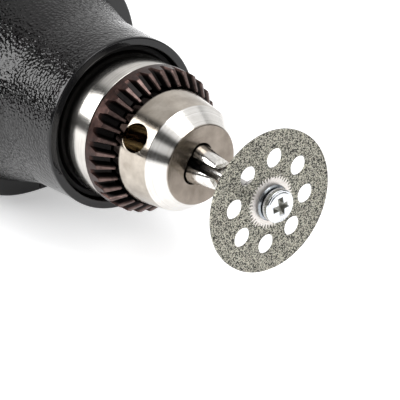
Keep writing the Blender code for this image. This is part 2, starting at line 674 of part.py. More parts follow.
def build_field():
    """Laminated field core, flat above and below, with a coil round each side pole."""
    core = ring("field_core", FIELD_BORE_R, FIELD_R, CORE_BACK_S, CORE_FRONT_S, "lamination", FINE_STEPS)
    flats = bmesh.new()
    add_box(flats, (CORE_BACK_S - CUT, CORE_FRONT_S + CUT), (-FIELD_R - CUT, FIELD_R + CUT),
            (-FIELD_HALF_HEIGHT, FIELD_HALF_HEIGHT))
    boolean(core, from_bmesh("field_trim", flats), "INTERSECT")
    slots = bmesh.new()
    for left in (-COIL_Y, COIL_Y):
        for up in (-COIL_HALF_HEIGHT, COIL_HALF_HEIGHT):
            start = local(CORE_BACK_S - CUT, left, up)
            add_rod(slots, COIL_R + GAP, start, local(CORE_FRONT_S + CUT, left, up))
    boolean(core, from_bmesh("coil_slot_cutter", slots))
    front = CORE_FRONT_S + COIL_END
    back = CORE_BACK_S - COIL_END
    corners = ((front, 1), (back, 1), (back, -1), (front, -1))
    for name, side in (("field_coil_left", 1), ("field_coil_right", -1)):
        curve = bpy.data.curves.new(name, "CURVE")
        curve.dimensions = "3D"
        curve.bevel_depth = COIL_R
        curve.bevel_resolution = 2
        spline = curve.splines.new("POLY")
        points = []
        for place, half in corners:
            end_turn = math.copysign(COIL_CORNER, place - (front + back) / 2)
            leg = local(place - end_turn, side * COIL_Y, half * COIL_HALF_HEIGHT)
            head = local(place, side * COIL_Y, half * (COIL_HALF_HEIGHT - COIL_CORNER))
            pair = (head, leg) if (place == front) == (half > 0) else (leg, head)
            points += pair
        spline.points.add(len(points) - 1)
        for target, point in zip(spline.points, points):
            target.co = (*point, 1)
        spline.use_cyclic_u = True
        add_object(name, curve, "copper")


def build_brush_gear():
    """Brass holder, carbon brush, spring and screwed cap on each flank."""
    inner_half_length = BRUSH_HALF_LENGTH + GAP
    inner_half_height = BRUSH_HALF_HEIGHT + GAP
    half_length = inner_half_length + HOLDER_WALL
    half_height = inner_half_height + HOLDER_WALL
    spring_in = BRUSH_OUTER_Y + GAP + SPRING_WIRE_R
    spring_out = BRUSH_CAP_INNER_Y - GAP - SPRING_WIRE_R
    for name, side in (("left", 1), ("right", -1)):
        tube = bmesh.new()
        add_box(tube, (BRUSH_S - half_length, BRUSH_S + half_length),
                (side * HOLDER_INNER_Y, side * HOLDER_OUTER_Y), (-half_height, half_height))
        holder = from_bmesh("brush_holder_" + name, tube, "brass")
        room = bmesh.new()
        add_box(room, (BRUSH_S - inner_half_length, BRUSH_S + inner_half_length),
                (side * (HOLDER_INNER_Y - CUT), side * (HOLDER_OUTER_Y + CUT)),
                (-inner_half_height, inner_half_height))
        boolean(holder, from_bmesh("brush_room_" + name, room))
        block = bmesh.new()
        add_box(block, (BRUSH_S - BRUSH_HALF_LENGTH, BRUSH_S + BRUSH_HALF_LENGTH),
                (side * (COMMUTATOR_R + GAP), side * BRUSH_OUTER_Y),
                (-BRUSH_HALF_HEIGHT, BRUSH_HALF_HEIGHT))
        from_bmesh("carbon_brush_" + name, block, "carbon")
        curve = bpy.data.curves.new("brush_spring_" + name, "CURVE")
        curve.dimensions = "3D"
        curve.bevel_depth = SPRING_WIRE_R
        curve.bevel_resolution = 0
        curve.use_fill_caps = True
        spline = curve.splines.new("POLY")
        count = SPRING_TURNS * SPRING_TURN_POINTS
        spline.points.add(count)
        for index, target in enumerate(spline.points):
            angle = FULL_TURN * index / SPRING_TURN_POINTS
            left = side * (spring_in + (spring_out - spring_in) * index / count)
            point = local(BRUSH_S + SPRING_R * math.cos(angle), left, SPRING_R * math.sin(angle))
            target.co = (*point, 1)
        add_object(curve.name, curve, "bearing_steel")
        plug = bmesh.new()
        add_rod(plug, BRUSH_CAP_R, local(BRUSH_S, side * BRUSH_CAP_INNER_Y, 0),
                local(BRUSH_S, side * BRUSH_CAP_OUTER_Y, 0), PLAIN_STEPS)
        cap = from_bmesh("brush_cap_" + name, plug, "shell_plastic")
        slot = bmesh.new()
        add_box(slot, (BRUSH_S - BRUSH_CAP_R - CUT, BRUSH_S + BRUSH_CAP_R + CUT),
                (side * (BRUSH_CAP_OUTER_Y - CAP_SLOT), side * (BRUSH_CAP_OUTER_Y + CUT)),
                (-CAP_SLOT / 2, CAP_SLOT / 2))
        boolean(cap, from_bmesh("cap_slot_" + name, slot))


def build_slider():
    """Power switch slider: ribbed cap, stem through the slot and a flange under the wall."""
    cap_low = AXIS_HEIGHT + GAP
    cap_high = cap_low + SLIDER_CAP_HEIGHT
    heights = (
        (SLIDER_CAP, (cap_low, cap_high)),
        (SLIDER_STEM, (SLIDER_FLANGE_Z[1] - GAP, cap_low + GAP)),
        (SLIDER_FLANGE, SLIDER_FLANGE_Z),
    )
    layers = []
    for index, ((half_length, half_width), ups) in enumerate(heights):
        bm = bmesh.new()
        places = (SLIDER_OFF_S - half_length, SLIDER_OFF_S + half_length)
        add_box(bm, places, (-half_width, half_width), ups)
        is_cap = index == 0
        name = "power_switch" if is_cap else "slider_joiner_" + str(index)
        layers.append(from_bmesh(name, bm, "switch_grey" if is_cap else None))
    slider = layers[0]
    for layer in layers[1:]:
        boolean(slider, layer, "UNION")
    grooves = bmesh.new()
    for index in range(SLIDER_RIBS):
        middle = SLIDER_OFF_S + (index - (SLIDER_RIBS - 1) / 2) * SLIDER_RIB_PITCH
        add_box(grooves, (middle - SLIDER_RIB / 2, middle + SLIDER_RIB / 2),
                (-SLIDER_CAP[1] - CUT, SLIDER_CAP[1] + CUT), (cap_high - SLIDER_RIB, cap_high + CUT))
    boolean(slider, from_bmesh("slider_groove_cutter", grooves))


def build_speed_control():
    """Circuit board with its switch module, potentiometer and thumbwheel dial."""
    board_top = BOARD_Z + BOARD_THICK
    board = bmesh.new()
    add_box(board, (BOARD_BACK_S, BOARD_FRONT_S), (-BOARD_HALF_WIDTH, BOARD_HALF_WIDTH),
            (BOARD_Z, board_top))
    from_bmesh("speed_board", board, "board")
    module = bmesh.new()
    add_box(module, (MODULE_BACK_S, MODULE_FRONT_S), (-MODULE_HALF_WIDTH, MODULE_HALF_WIDTH),
            (board_top + GAP, SLIDER_FLANGE_Z[0] - GAP))
    from_bmesh("switch_module", module, "switch_grey")
    pot = bmesh.new()
    add_box(pot, (DIAL_S - POT_HALF_LENGTH, DIAL_S + POT_HALF_LENGTH), (POT_INNER_Y, POT_OUTER_Y),
            (board_top + GAP, POT_TOP_Z))
    pot_body = from_bmesh("speed_potentiometer", pot, "switch_grey")
    hole = bmesh.new()
    add_rod(hole, DIAL_PIN_R + GAP, local(DIAL_S, POT_INNER_Y - CUT, DIAL_Z),
            local(DIAL_S, POT_OUTER_Y + CUT, DIAL_Z))
    boolean(pot_body, from_bmesh("pot_hole_cutter", hole))
    dial_axis = bpy.data.objects.new("dial_axis", None)
    dial_axis.parent = tool_axis
    dial_axis.location = local(DIAL_S, 0, DIAL_Z)
    tool_parts.objects.link(dial_axis)
    sideways = Vector((0, 1, 0))
    wheel = bmesh.new()
    add_rod(wheel, DIAL_R, -DIAL_HALF_WIDTH * sideways, DIAL_HALF_WIDTH * sideways, FINE_STEPS)
    dial = from_bmesh("speed_dial", wheel, "switch_grey", dial_axis)
    pin = bmesh.new()
    add_rod(pin, DIAL_PIN_R, Vector(), POT_OUTER_Y * sideways)
    boolean(dial, from_bmesh("dial_pin_joiner", pin, parent=dial_axis), "UNION")
    notches = bmesh.new()
    for index in range(DIAL_NOTCHES):
        angle = FULL_TURN * index / DIAL_NOTCHES
        middle = Vector((DIAL_R * math.cos(angle), 0, DIAL_R * math.sin(angle)))
        reach = (DIAL_HALF_WIDTH + CUT) * sideways
        add_rod(notches, DIAL_NOTCH_R, middle - reach, middle + reach, 8)
    boolean(dial, from_bmesh("dial_notch_cutter", notches, parent=dial_axis))


def jaw_frame(index):
    """Placement of a jaw: local Z along its bore towards the nose, local X outwards."""
    turn = turn_round(JAW_FIRST_ANGLE + FULL_TURN * index / JAW_COUNT)
    return turn @ Matrix.Translation((JAW_TIP_OFFSET, 0, JAW_TIP_S)) @ Matrix.Rotation(-JAW_TILT, 4, "Y")


def nut_bore_r(place):
    """Bore of the split nut at a place: clear of the threaded flats of the jaws."""
    offset = JAW_TIP_OFFSET + (JAW_TIP_S - place) * math.tan(JAW_TILT)
    return math.hypot(offset + JAW_FLAT / math.cos(JAW_TILT), JAW_R) + GAP


def build_chuck_body():
    """Chuck body with a threaded rear bore, three slanted jaw bores and three key holes."""
    thread_room = THREAD_R + GAP
    nut_floor_r = nut_bore_r(NUT_FRONT_S) - 2 * GAP
    outline = [
        (0, CHUCK_BORE_FLOOR_S),
        (CHUCK_BORE_R, CHUCK_BORE_FLOOR_S),
        (CHUCK_BORE_R, CHUCK_NOSE_S),
        (CHUCK_NOSE_R, CHUCK_NOSE_S),
        (CHUCK_TAPER_R, CHUCK_TAPER_S),
        (CHUCK_FRONT_R, CHUCK_SHOULDER_S),
        (CHUCK_FRONT_R, NUT_FRONT_S + GAP),
        (nut_floor_r, NUT_FRONT_S + GAP),
        (nut_floor_r, NUT_BACK_S - GAP),
        (CHUCK_TAIL_R, NUT_BACK_S - GAP),
        (CHUCK_TAIL_R, CHUCK_BACK_S),
        (thread_room, CHUCK_BACK_S),
        (thread_room, THREAD_FRONT_S + GAP),
        (0, THREAD_FRONT_S + GAP),
    ]
    body = turned("chuck_body", outline, "chuck_steel", FINE_STEPS)
    back = (JAW_BACK_S - JAW_TIP_S) / math.cos(JAW_TILT) - JAW_TRAVEL - CUT
    for index in range(JAW_COUNT):
        frame = jaw_frame(index)
        bore = bmesh.new()
        add_rod(bore, JAW_R + GAP, frame @ Vector((0, 0, back)), frame @ Vector((0, 0, CUT)))
        boolean(body, from_bmesh("jaw_bore_" + str(index + 1), bore))
    holes = bmesh.new()
    for index in range(JAW_COUNT):
        turn = turn_round(JAW_FIRST_ANGLE + FULL_TURN * (index + 0.5) / JAW_COUNT)
        start = turn @ Vector((KEY_HOLE_FLOOR, 0, KEY_HOLE_S))
        end = turn @ Vector((CHUCK_FRONT_R + CUT, 0, KEY_HOLE_S))
        add_rod(holes, KEY_HOLE_R, start, end)
    boolean(body, from_bmesh("key_hole_cutter", holes))


def build_chuck_ring():
    """Sleeve, toothed gear ring and split nut, which turn together to drive the jaws."""
    sleeve_front = GEAR_BACK_S - GAP
    turned("chuck_sleeve", [
        (SLEEVE_BORE_R, sleeve_front),
        (SLEEVE_R, sleeve_front),
        (SLEEVE_R, SLEEVE_BACK_S + SLEEVE_EDGE),
        (SLEEVE_R - SLEEVE_EDGE, SLEEVE_BACK_S),
        (SLEEVE_BORE_R, SLEEVE_BACK_S),
    ], "chuck_steel", FINE_STEPS)
    gear = turned("chuck_gear_ring", [
        (GEAR_BORE_R, GEAR_FRONT_S),
        (GEAR_TIP_R, GEAR_FRONT_S),
        (GEAR_R, GEAR_BAND_S),
        (GEAR_R, GEAR_BACK_S),
        (GEAR_BORE_R, GEAR_BACK_S),
    ], "gear_oxide", 2 * GEAR_TEETH)
    slope = Vector((GEAR_TIP_R - GEAR_R, 0, GEAR_FRONT_S - GEAR_BAND_S))
    lean = Matrix.Rotation(math.atan2(slope.x, slope.z), 4, "Y")
    length = slope.length + 2 * CUT
    taper = (GEAR_GAP_WIDTH - GEAR_GAP_FLOOR) / GEAR_GAP_DEPTH
    middle = Vector((GEAR_R, 0, GEAR_BAND_S)) + slope / 2
    gaps = bmesh.new()
    for index in range(GEAR_TEETH):
        turn = turn_round(FULL_TURN * index / GEAR_TEETH)
        gap = bmesh.ops.create_cube(gaps, size=1)["verts"]
        for corner in gap:
            width = GEAR_GAP_WIDTH + math.copysign(GEAR_GAP_DEPTH, corner.co.x) * taper
            corner.co = (2 * GEAR_GAP_DEPTH * corner.co.x, width * corner.co.y, length * corner.co.z)
        bmesh.ops.transform(gaps, matrix=turn @ Matrix.Translation(middle) @ lean, verts=gap)
    boolean(gear, from_bmesh("tooth_gap_cutter", gaps))
    for name, side in (("upper", 1), ("lower", -1)):
        nut = turned("split_nut_" + name, [
            (nut_bore_r(NUT_FRONT_S), NUT_FRONT_S),
            (NUT_R, NUT_FRONT_S),
            (NUT_R, NUT_BACK_S),
            (nut_bore_r(NUT_BACK_S), NUT_BACK_S),
        ], "jaw_steel", FINE_STEPS)
        half = bmesh.new()
        add_box(half, (NUT_BACK_S - CUT, NUT_FRONT_S + CUT), (-NUT_R - CUT, NUT_R + CUT),
                (side * GAP / 2, side * (NUT_R + CUT)))
        boolean(nut, from_bmesh("nut_trim_" + name, half), "INTERSECT")


def build_jaws():
    """Three jaws: rods trimmed to a third of the circle, with a grip face and a threaded flat."""
    spread = math.pi / JAW_COUNT
    sector = [Vector((-math.sin(spread), side * math.cos(spread), 0)) for side in (-1, 1)]
    along = Vector((0, 0, 1))
    outward = Vector((1, 0, 0))
    for index in range(JAW_COUNT):
        frame = jaw_frame(index)
        upright = turn_round(JAW_FIRST_ANGLE + FULL_TURN * index / JAW_COUNT)
        to_jaw = frame.inverted() @ upright
        planes = [(normal, normal * -JAW_SLOT / 2) for normal in sector]
        planes.append((along, along * JAW_TIP_S))
        planes.append((-outward, outward * (SHANK_R + GAP)))
        planes.append((outward + along, Vector((JAW_TIP_R, 0, JAW_TIP_S))))
        planes.append((-along, along * JAW_BACK_S))
        bm = bmesh.new()
        length = (JAW_TIP_S - JAW_BACK_S) / math.cos(JAW_TILT) + 2 * JAW_R
        add_rod(bm, JAW_R, -length * along, JAW_R * along)
        cuts = [(to_jaw.to_3x3() @ normal, to_jaw @ point) for normal, point in planes]
        cuts.append((outward, JAW_FLAT * outward))
        for normal, point in cuts:
            trim(bm, normal, point)
        jaw = from_bmesh("chuck_jaw_" + str(index + 1), bm, "jaw_steel")
        jaw.matrix_local = frame


def trim(bm, normal, point):
    """Cut away what lies ahead of a plane and close the cut."""
    geometry = bm.verts[:] + bm.edges[:] + bm.faces[:]
    cut = bmesh.ops.bisect_plane(bm, geom=geometry, plane_co=point, plane_no=normal, clear_outer=True)
    edges = [item for item in cut["geom_cut"] if isinstance(item, bmesh.types.BMEdge)]
    if edges:
        bmesh.ops.edgeloop_fill(bm, edges=edges)
        bmesh.ops.recalc_face_normals(bm, faces=bm.faces[:])


def build_disc():
    """Mandrel, perforated cutting disc, washer and the screw that clamps them."""
    turned("mandrel", [
        (0, ARBOR_SCREW_BACK_S - GAP),
        (ARBOR_BORE_R, ARBOR_SCREW_BACK_S - GAP),
        (ARBOR_BORE_R, MANDREL_FRONT_S),
        (MANDREL_FLANGE_R, MANDREL_FRONT_S),
        (MANDREL_FLANGE_R, MANDREL_FLANGE_S),
        (MANDREL_HEAD_R, MANDREL_FLANGE_S),
        (MANDREL_HEAD_R, MANDREL_HEAD_S),
        (SHANK_R, MANDREL_HEAD_S),
        (SHANK_R, SHANK_BACK_S),
        (0, SHANK_BACK_S),
    ], "shaft_steel")
    disc = ring("cutting_disc", ARBOR_BORE_R, DISC_R, DISC_BACK_S, DISC_FRONT_S, "diamond_grit", FINE_STEPS)
    holes = bmesh.new()
    for index in range(DISC_HOLES):
        turn = turn_round(DISC_HOLE_ANGLE + FULL_TURN * index / DISC_HOLES)
        start = turn @ Vector((DISC_HOLE_PITCH_R, 0, DISC_BACK_S - CUT))
        add_rod(holes, DISC_HOLE_R, start, turn @ Vector((DISC_HOLE_PITCH_R, 0, DISC_FRONT_S + CUT)))
    boolean(disc, from_bmesh("disc_hole_cutter", holes))
    ring("mandrel_washer", ARBOR_BORE_R, WASHER_R, WASHER_S, WASHER_S + WASHER_THICK, "zinc")
    turned("mandrel_screw", [
        (0, TOOL_FRONT_S),
        (ARBOR_HEAD_R - ARBOR_HEAD_ROUND, TOOL_FRONT_S),
        (ARBOR_HEAD_R, TOOL_FRONT_S - ARBOR_HEAD_ROUND),
        (ARBOR_HEAD_R, ARBOR_HEAD_S),
        (ARBOR_SCREW_R, ARBOR_HEAD_S),
        (ARBOR_SCREW_R, ARBOR_SCREW_BACK_S),
        (0, ARBOR_SCREW_BACK_S),
    ], "zinc")


build_nose()
build_shells()
build_housing_screws()
build_gland()
build_bearing("front_bearing", FRONT_BEARING_S, JOURNAL_R + GAP, FRONT_RACES, FRONT_BALLS)
build_bearing("rear_bearing", REAR_BEARING_S, TAIL_R + GAP, REAR_RACES, REAR_BALLS)
turned("rear_bearing_seat", [
    (0, SHAFT_BACK_S - GAP),
    (REAR_RACES[2] + GAP, SHAFT_BACK_S - GAP),
    (REAR_RACES[2] + GAP, SEAT_FRONT_S),
    (SEAT_R, SEAT_FRONT_S),
    (SEAT_R, SHAFT_BACK_S - GAP - SEAT_WALL),
    (0, SHAFT_BACK_S - GAP - SEAT_WALL),
], "rubber")
build_rotor()
build_field()
build_brush_gear()
build_slider()
build_speed_control()
build_chuck_body()
build_chuck_ring()
build_jaws()
build_disc()
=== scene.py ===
"""Looks of a rotary hobby tool: fine meshes, finishes, floor, light and camera."""
import math

import bmesh
import bpy
from mathutils import Matrix, Vector


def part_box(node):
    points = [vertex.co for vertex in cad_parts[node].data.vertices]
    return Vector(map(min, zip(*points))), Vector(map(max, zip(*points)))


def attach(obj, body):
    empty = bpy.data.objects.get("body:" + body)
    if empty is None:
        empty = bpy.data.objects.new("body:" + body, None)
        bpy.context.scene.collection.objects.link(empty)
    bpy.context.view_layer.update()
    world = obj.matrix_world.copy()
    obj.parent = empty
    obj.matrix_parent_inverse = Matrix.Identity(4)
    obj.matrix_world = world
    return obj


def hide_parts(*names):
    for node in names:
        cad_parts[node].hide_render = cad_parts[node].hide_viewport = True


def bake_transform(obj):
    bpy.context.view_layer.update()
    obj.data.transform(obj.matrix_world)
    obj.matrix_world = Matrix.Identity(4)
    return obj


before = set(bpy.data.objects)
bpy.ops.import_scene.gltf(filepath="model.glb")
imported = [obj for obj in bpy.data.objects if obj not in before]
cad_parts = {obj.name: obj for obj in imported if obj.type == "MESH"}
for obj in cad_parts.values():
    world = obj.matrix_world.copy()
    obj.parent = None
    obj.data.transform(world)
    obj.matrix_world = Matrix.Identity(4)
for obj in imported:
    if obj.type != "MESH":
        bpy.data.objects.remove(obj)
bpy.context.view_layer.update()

# Motor parts
# Laminated cores, enamelled copper, a ground shaft in ball bearings, brass brush holders and
# a green board. They stay as packed and show only through the vent slots.
MM = 0.001
COLLAR_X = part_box("nose_housing")[1].x
AXIS_Z = sum(corner.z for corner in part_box("cutting_disc")) / 2


def hex_colour(text):
    """Linear colour of an sRGB hex value."""
    channels = [int(text[start:start + 2], 16) / 255 for start in (1, 3, 5)]
    return (*[c / 12.92 if c <= 0.04045 else ((c + 0.055) / 1.055) ** 2.4 for c in channels], 1.0)


def add_node(tree, kind, inputs=None, **settings):
    """Add a node with its settings; an input is a value, a hex colour, a socket or a feeding node."""
    node = tree.nodes.new(kind)
    for name, value in settings.items():
        setattr(node, name, value)
    for name, value in (inputs or {}).items():
        if isinstance(value, bpy.types.Node):
            value = value.outputs[0]
        if isinstance(value, bpy.types.NodeSocket):
            tree.links.new(value, node.inputs[name])
        else:
            node.inputs[name].default_value = hex_colour(value) if isinstance(value, str) else value
    return node


def new_finish(name, **constants):
    """New material: itself, its tree, its shader and a coordinate centred on the collar."""
    material = bpy.data.materials.new(name)
    material.use_nodes = True
    tree = material.node_tree
    shader = tree.nodes["Principled BSDF"]
    for socket, value in constants.items():
        shader.inputs[socket].default_value = value
    place = add_node(tree, "ShaderNodeTexCoord")
    centred = add_node(tree, "ShaderNodeMapping", {
        "Vector": place.outputs["Object"], "Location": (-COLLAR_X, 0, -AXIS_Z),
    })
    return material, tree, shader, centred


def tone(tree, pattern, dark, light, start=0.3, end=0.7):
    """Colour that runs from dark to light, each a hex text or a socket, as a pattern runs up."""
    share = add_node(tree, "ShaderNodeMapRange", {"Value": pattern, "From Min": start, "From Max": end})
    mix = add_node(tree, "ShaderNodeMix", {"Factor": share, 6: dark, 7: light}, data_type="RGBA")
    return mix.outputs[2]


def finish_with(tree, shader, colour, pattern, roughness, height, depth):
    """Feed the shader a colour, a roughness that runs with a pattern, and a relief of that depth."""
    low, high = roughness
    rough = add_node(tree, "ShaderNodeMapRange", {"Value": pattern, "To Min": low, "To Max": high})
    bump = add_node(tree, "ShaderNodeBump", {"Height": height, "Distance": depth})
    tree.links.new(colour, shader.inputs["Base Color"])
    tree.links.new(rough.outputs["Result"], shader.inputs["Roughness"])
    tree.links.new(bump.outputs["Normal"], shader.inputs["Normal"])


GRAIN_DETAIL = 3.0
ROUGH_SPREAD = 0.1


def grained(name, dark, light, rough, size, depth, **constants):
    """Finish with blotches of one size in its colour, roughness and relief."""
    material, tree, shader, centred = new_finish(name, **constants)
    blotches = add_node(tree, "ShaderNodeTexNoise", {
        "Vector": centred, "Scale": 1 / size, "Detail": GRAIN_DETAIL,
    })
    roughness = (rough - ROUGH_SPREAD, rough + ROUGH_SPREAD)
    finish_with(tree, shader, tone(tree, blotches, dark, light), blotches, roughness, blotches, depth)
    return material


INNER_GRAIN = 0.8 * MM
INNER_DEPTH = 0.02 * MM
# Dark and light tone, roughness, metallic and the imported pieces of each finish.
INNER_FINISHES = {
    # Stacked sheet steel under varnish: dull grey with a weak shine.
    "varnished_laminations": ("#5a5a5d", "#77777b", 0.45, 0.9, ["armature_core", "field_core"]),
    # Copper under clear enamel: warm and fairly glossy.
    "enamelled_copper": ("#8a4a22", "#b9713a", 0.35, 0.9, [
        "armature_winding_front", "armature_winding_rear", "field_coil_left", "field_coil_right",
        "commutator"]),
    # Hardened and ground: a clean, bright grey.
    "ground_bearing_steel": ("#a6a8ab", "#c6c8ca", 0.25, 1.0, [
        "front_bearing_inner", "front_bearing_outer", "rear_bearing_inner", "rear_bearing_outer",
        "armature_shaft"]),
    # Sheet brass from a press: yellow and bright.
    "pressed_brass": ("#9a7a3a", "#c7a75e", 0.3, 1.0, [
        "brush_holder_left", "brush_holder_right", "front_bearing_cage", "rear_bearing_cage"]),
    # Pressed carbon dust: black and matt.
    "pressed_carbon": ("#1c1c1e", "#2c2c2f", 0.6, 0.0, ["carbon_brush_left", "carbon_brush_right"]),
    # Nylon moulded with glass fibre: dark grey and half matt.
    "glass_filled_nylon": ("#26262a", "#34343a", 0.5, 0.0, [
        "cooling_fan", "switch_module", "speed_potentiometer"]),
    # Glass cloth in resin under lacquer: a dull, even green.
    "green_laminate": ("#1f4a2c", "#2f6a3f", 0.45, 0.0, ["speed_board"]),
    # Soft moulded rubber: black, and it throws back little light.
    "black_rubber_seat": ("#141414", "#222222", 0.8, 0.0, ["rear_bearing_seat"]),
    # Hardened steel, left from the quench: a warm, dark grey.
    "hardened_nut_steel": ("#6f6a64", "#8f8a84", 0.35, 1.0, ["split_nut_upper", "split_nut_lower"]),
}
for finish_name, (dark, light, rough, metal, nodes) in INNER_FINISHES.items():
    material = grained(finish_name, dark, light, rough, INNER_GRAIN, INNER_DEPTH, Metallic=metal)
    for node in nodes:
        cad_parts[node].data.materials.clear()
        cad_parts[node].data.materials.append(material)

# Half shells
# Two moulded halves of smooth black plastic, split upright along the tool and flat on four
# sides. Slots let the cooling air through; the right half has the sunk screw seats.
TURN = 2 * math.pi
FORWARD = Vector((1, 0, 0))
LEFT = Vector((0, 1, 0))
UP = Vector((0, 0, 1))
SHARP_ANGLE = math.radians(32)


def on_tool(place, radius=0.0, angle=0.0):
    """Point at a place, a radius and an angle.

    The place is counted forward from the front face of the nose collar, the radius from the
    spindle axis and the angle from the left towards the top.
    """
    return Vector((COLLAR_X + place, radius * math.cos(angle), AXIS_Z + radius * math.sin(angle)))


def span(node):
    """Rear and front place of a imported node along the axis."""
    low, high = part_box(node)
    return low.x - COLLAR_X, high.x - COLLAR_X


def from_bmesh(name, bm):
    """Link a finished bmesh as an object at the origin."""
    bmesh.ops.recalc_face_normals(bm, faces=bm.faces[:])
    mesh = bpy.data.meshes.new(name)
    bm.to_mesh(mesh)
    bm.free()
    obj = bpy.data.objects.new(name, mesh)
    bpy.context.scene.collection.objects.link(obj)
    return obj


def bake(obj):
    """Make the modifiers' result the object's own mesh."""
    depsgraph = bpy.context.evaluated_depsgraph_get()
    mesh = bpy.data.meshes.new_from_object(obj.evaluated_get(depsgraph))
    obj.modifiers.clear()
    obj.data = mesh


def cut_away(obj, *cutters):
    """Cut with other objects, which are used up."""
    for cutter in cutters:
        modifier = obj.modifiers.new("cut", "BOOLEAN")
        modifier.object = cutter
        modifier.operation = "DIFFERENCE"
        modifier.solver = "EXACT"
    bake(obj)
    for cutter in cutters:
        bpy.data.objects.remove(cutter, do_unlink=True)


def ease_edges(obj, width):
    """Round the sharp edges a little so that they catch the light."""
    modifier = obj.modifiers.new("eased", "BEVEL")
    modifier.width = width
    modifier.segments = 2
    modifier.limit_method = "ANGLE"
    modifier.angle_limit = SHARP_ANGLE
    bake(obj)


def dress(obj, material, body, slot, *nodes, level_faces=True):
    """Give a piece its finish, smooth shading, body and the nodes that it stands for; slot is not used."""
    obj.data.materials.clear()
    obj.data.materials.append(material)
    obj.data.polygons.foreach_set("use_smooth", [True] * len(obj.data.polygons))
    obj.data.set_sharp_from_angle(angle=SHARP_ANGLE)
    if level_faces:
        modifier = obj.modifiers.new("level_faces", "WEIGHTED_NORMAL")
        modifier.keep_sharp = True
        bake(obj)
    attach(obj, body)
    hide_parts(*nodes)


def prism(name, section, start, end, across, upright):
    """Straight bar between two points, from (across, upright) corners of its section."""
    bm = bmesh.new()
    ends = []
    for middle in (start, end):
        ends.append([bm.verts.new(middle + across * x + upright * y) for x, y in section])
        bm.faces.new(ends[-1])
    for i in range(len(section)):
        j = (i + 1) % len(section)
        bm.faces.new([ends[0][i], ends[0][j], ends[1][j], ends[1][i]])
    return from_bmesh(name, bm)


def rounded_box(half_long, half_wide, corner, arc_points=6):
    """Section of a bar with rounded corners."""
    section = []
    for quarter in range(4):
        side_x = 1 if quarter in (0, 3) else -1
        side_y = 1 if quarter in (0, 1) else -1
        for step in range(arc_points + 1):
            angle = TURN / 4 * (quarter + step / arc_points)
            section.append((side_x * (half_long - corner) + corner * math.cos(angle),
                            side_y * (half_wide - corner) + corner * math.sin(angle)))
    return section


def rod(name, start, end, radius, steps=48):
    """Plain round bar between two points."""
    run = end - start
    across = run.orthogonal().normalized()
    upright = run.normalized().cross(across)
    circle = [TURN * index / steps for index in range(steps)]
    section = [(radius * math.cos(angle), radius * math.sin(angle)) for angle in circle]
    return prism(name, section, start, end, across, upright)


def set_by_nodes(name, tree, values):
    """Evaluate a node tree with its input values to a plain mesh object."""
    obj = bpy.data.objects.new(name, bpy.data.meshes.new(name))
    bpy.context.scene.collection.objects.link(obj)
    modifier = obj.modifiers.new(name, "NODES")
    modifier.node_group = tree
    for item in tree.interface.items_tree:
        if item.in_out == "INPUT":
            modifier[item.identifier] = values[item.name]
    bake(obj)
    bpy.data.objects.remove(values["Piece"], do_unlink=True)
    return obj


def repeat_tree(name, numbers):
    """New node tree with the inputs that every repeat needs: numbers, a piece and a finish."""
    tree = bpy.data.node_groups.new(name, "GeometryNodeTree")
    for number, kind in numbers.items():
        tree.interface.new_socket(number, in_out="INPUT", socket_type=kind)
    tree.interface.new_socket("Piece", in_out="INPUT", socket_type="NodeSocketObject")
    tree.interface.new_socket("Finish", in_out="INPUT", socket_type="NodeSocketMaterial")
    tree.interface.new_socket("Geometry", in_out="OUTPUT", socket_type="NodeSocketGeometry")
    return tree, add_node(tree, "NodeGroupInput")


def end_tree(tree, given, points, **turned_by):
    """Set the piece on the points, make the copies real and give them their finish."""
    shape = add_node(tree, "GeometryNodeObjectInfo", {"Object": given.outputs["Piece"]})
    copies = add_node(tree, "GeometryNodeInstanceOnPoints", {
        "Points": points, "Instance": shape.outputs["Geometry"], **turned_by,
    })
    real = add_node(tree, "GeometryNodeRealizeInstances", {"Geometry": copies})
    finished = add_node(tree, "GeometryNodeSetMaterial", {
        "Geometry": real, "Material": given.outputs["Finish"],
    })
    add_node(tree, "NodeGroupOutput", {"Geometry": finished})


row_tree, given = repeat_tree("in_a_row", {"Count": "NodeSocketInt", "Step": "NodeSocketVector"})
line = add_node(row_tree, "GeometryNodeMeshLine", {
    "Count": given.outputs["Count"], "Offset": given.outputs["Step"],
})
end_tree(row_tree, given, line)


def in_a_row(name, piece, count, step, finish):
    """Copies of a piece at even steps from where it stands."""
    return set_by_nodes(name, row_tree, {"Count": count, "Step": step, "Piece": piece, "Finish": finish})


shell_back, shell_front = span("housing_left")
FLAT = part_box("housing_left")[1].y
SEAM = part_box("housing_left")[0].y
FLAT_CUT = 1.3 * MM
FRONT_DRAFT = 1.0 * MM
SHELL_WALL = 4.2 * MM
SHELL_R = FLAT + FLAT_CUT
SHELL_FRONT_R = SHELL_R - FRONT_DRAFT
SHELL_EDGE = 0.6 * MM
SWELL_S = -40.0 * MM
TAIL_S = -128.0 * MM
BACK_R = 17.0 * MM
CAVITY_R = SHELL_R - SHELL_WALL
CAVITY_BACK = -144.0 * MM
SPIGOT_R = 19.9 * MM
SPIGOT_BACK = -33.5 * MM
GLAND_R = 5.2 * MM
FLAT_SHARPNESS = 60         # how tightly the flats blend into the round
EDGE_STEPS = 4
SWELL_STEPS = 8
TAIL_STEPS = 32
SHELL_COLUMNS = 96


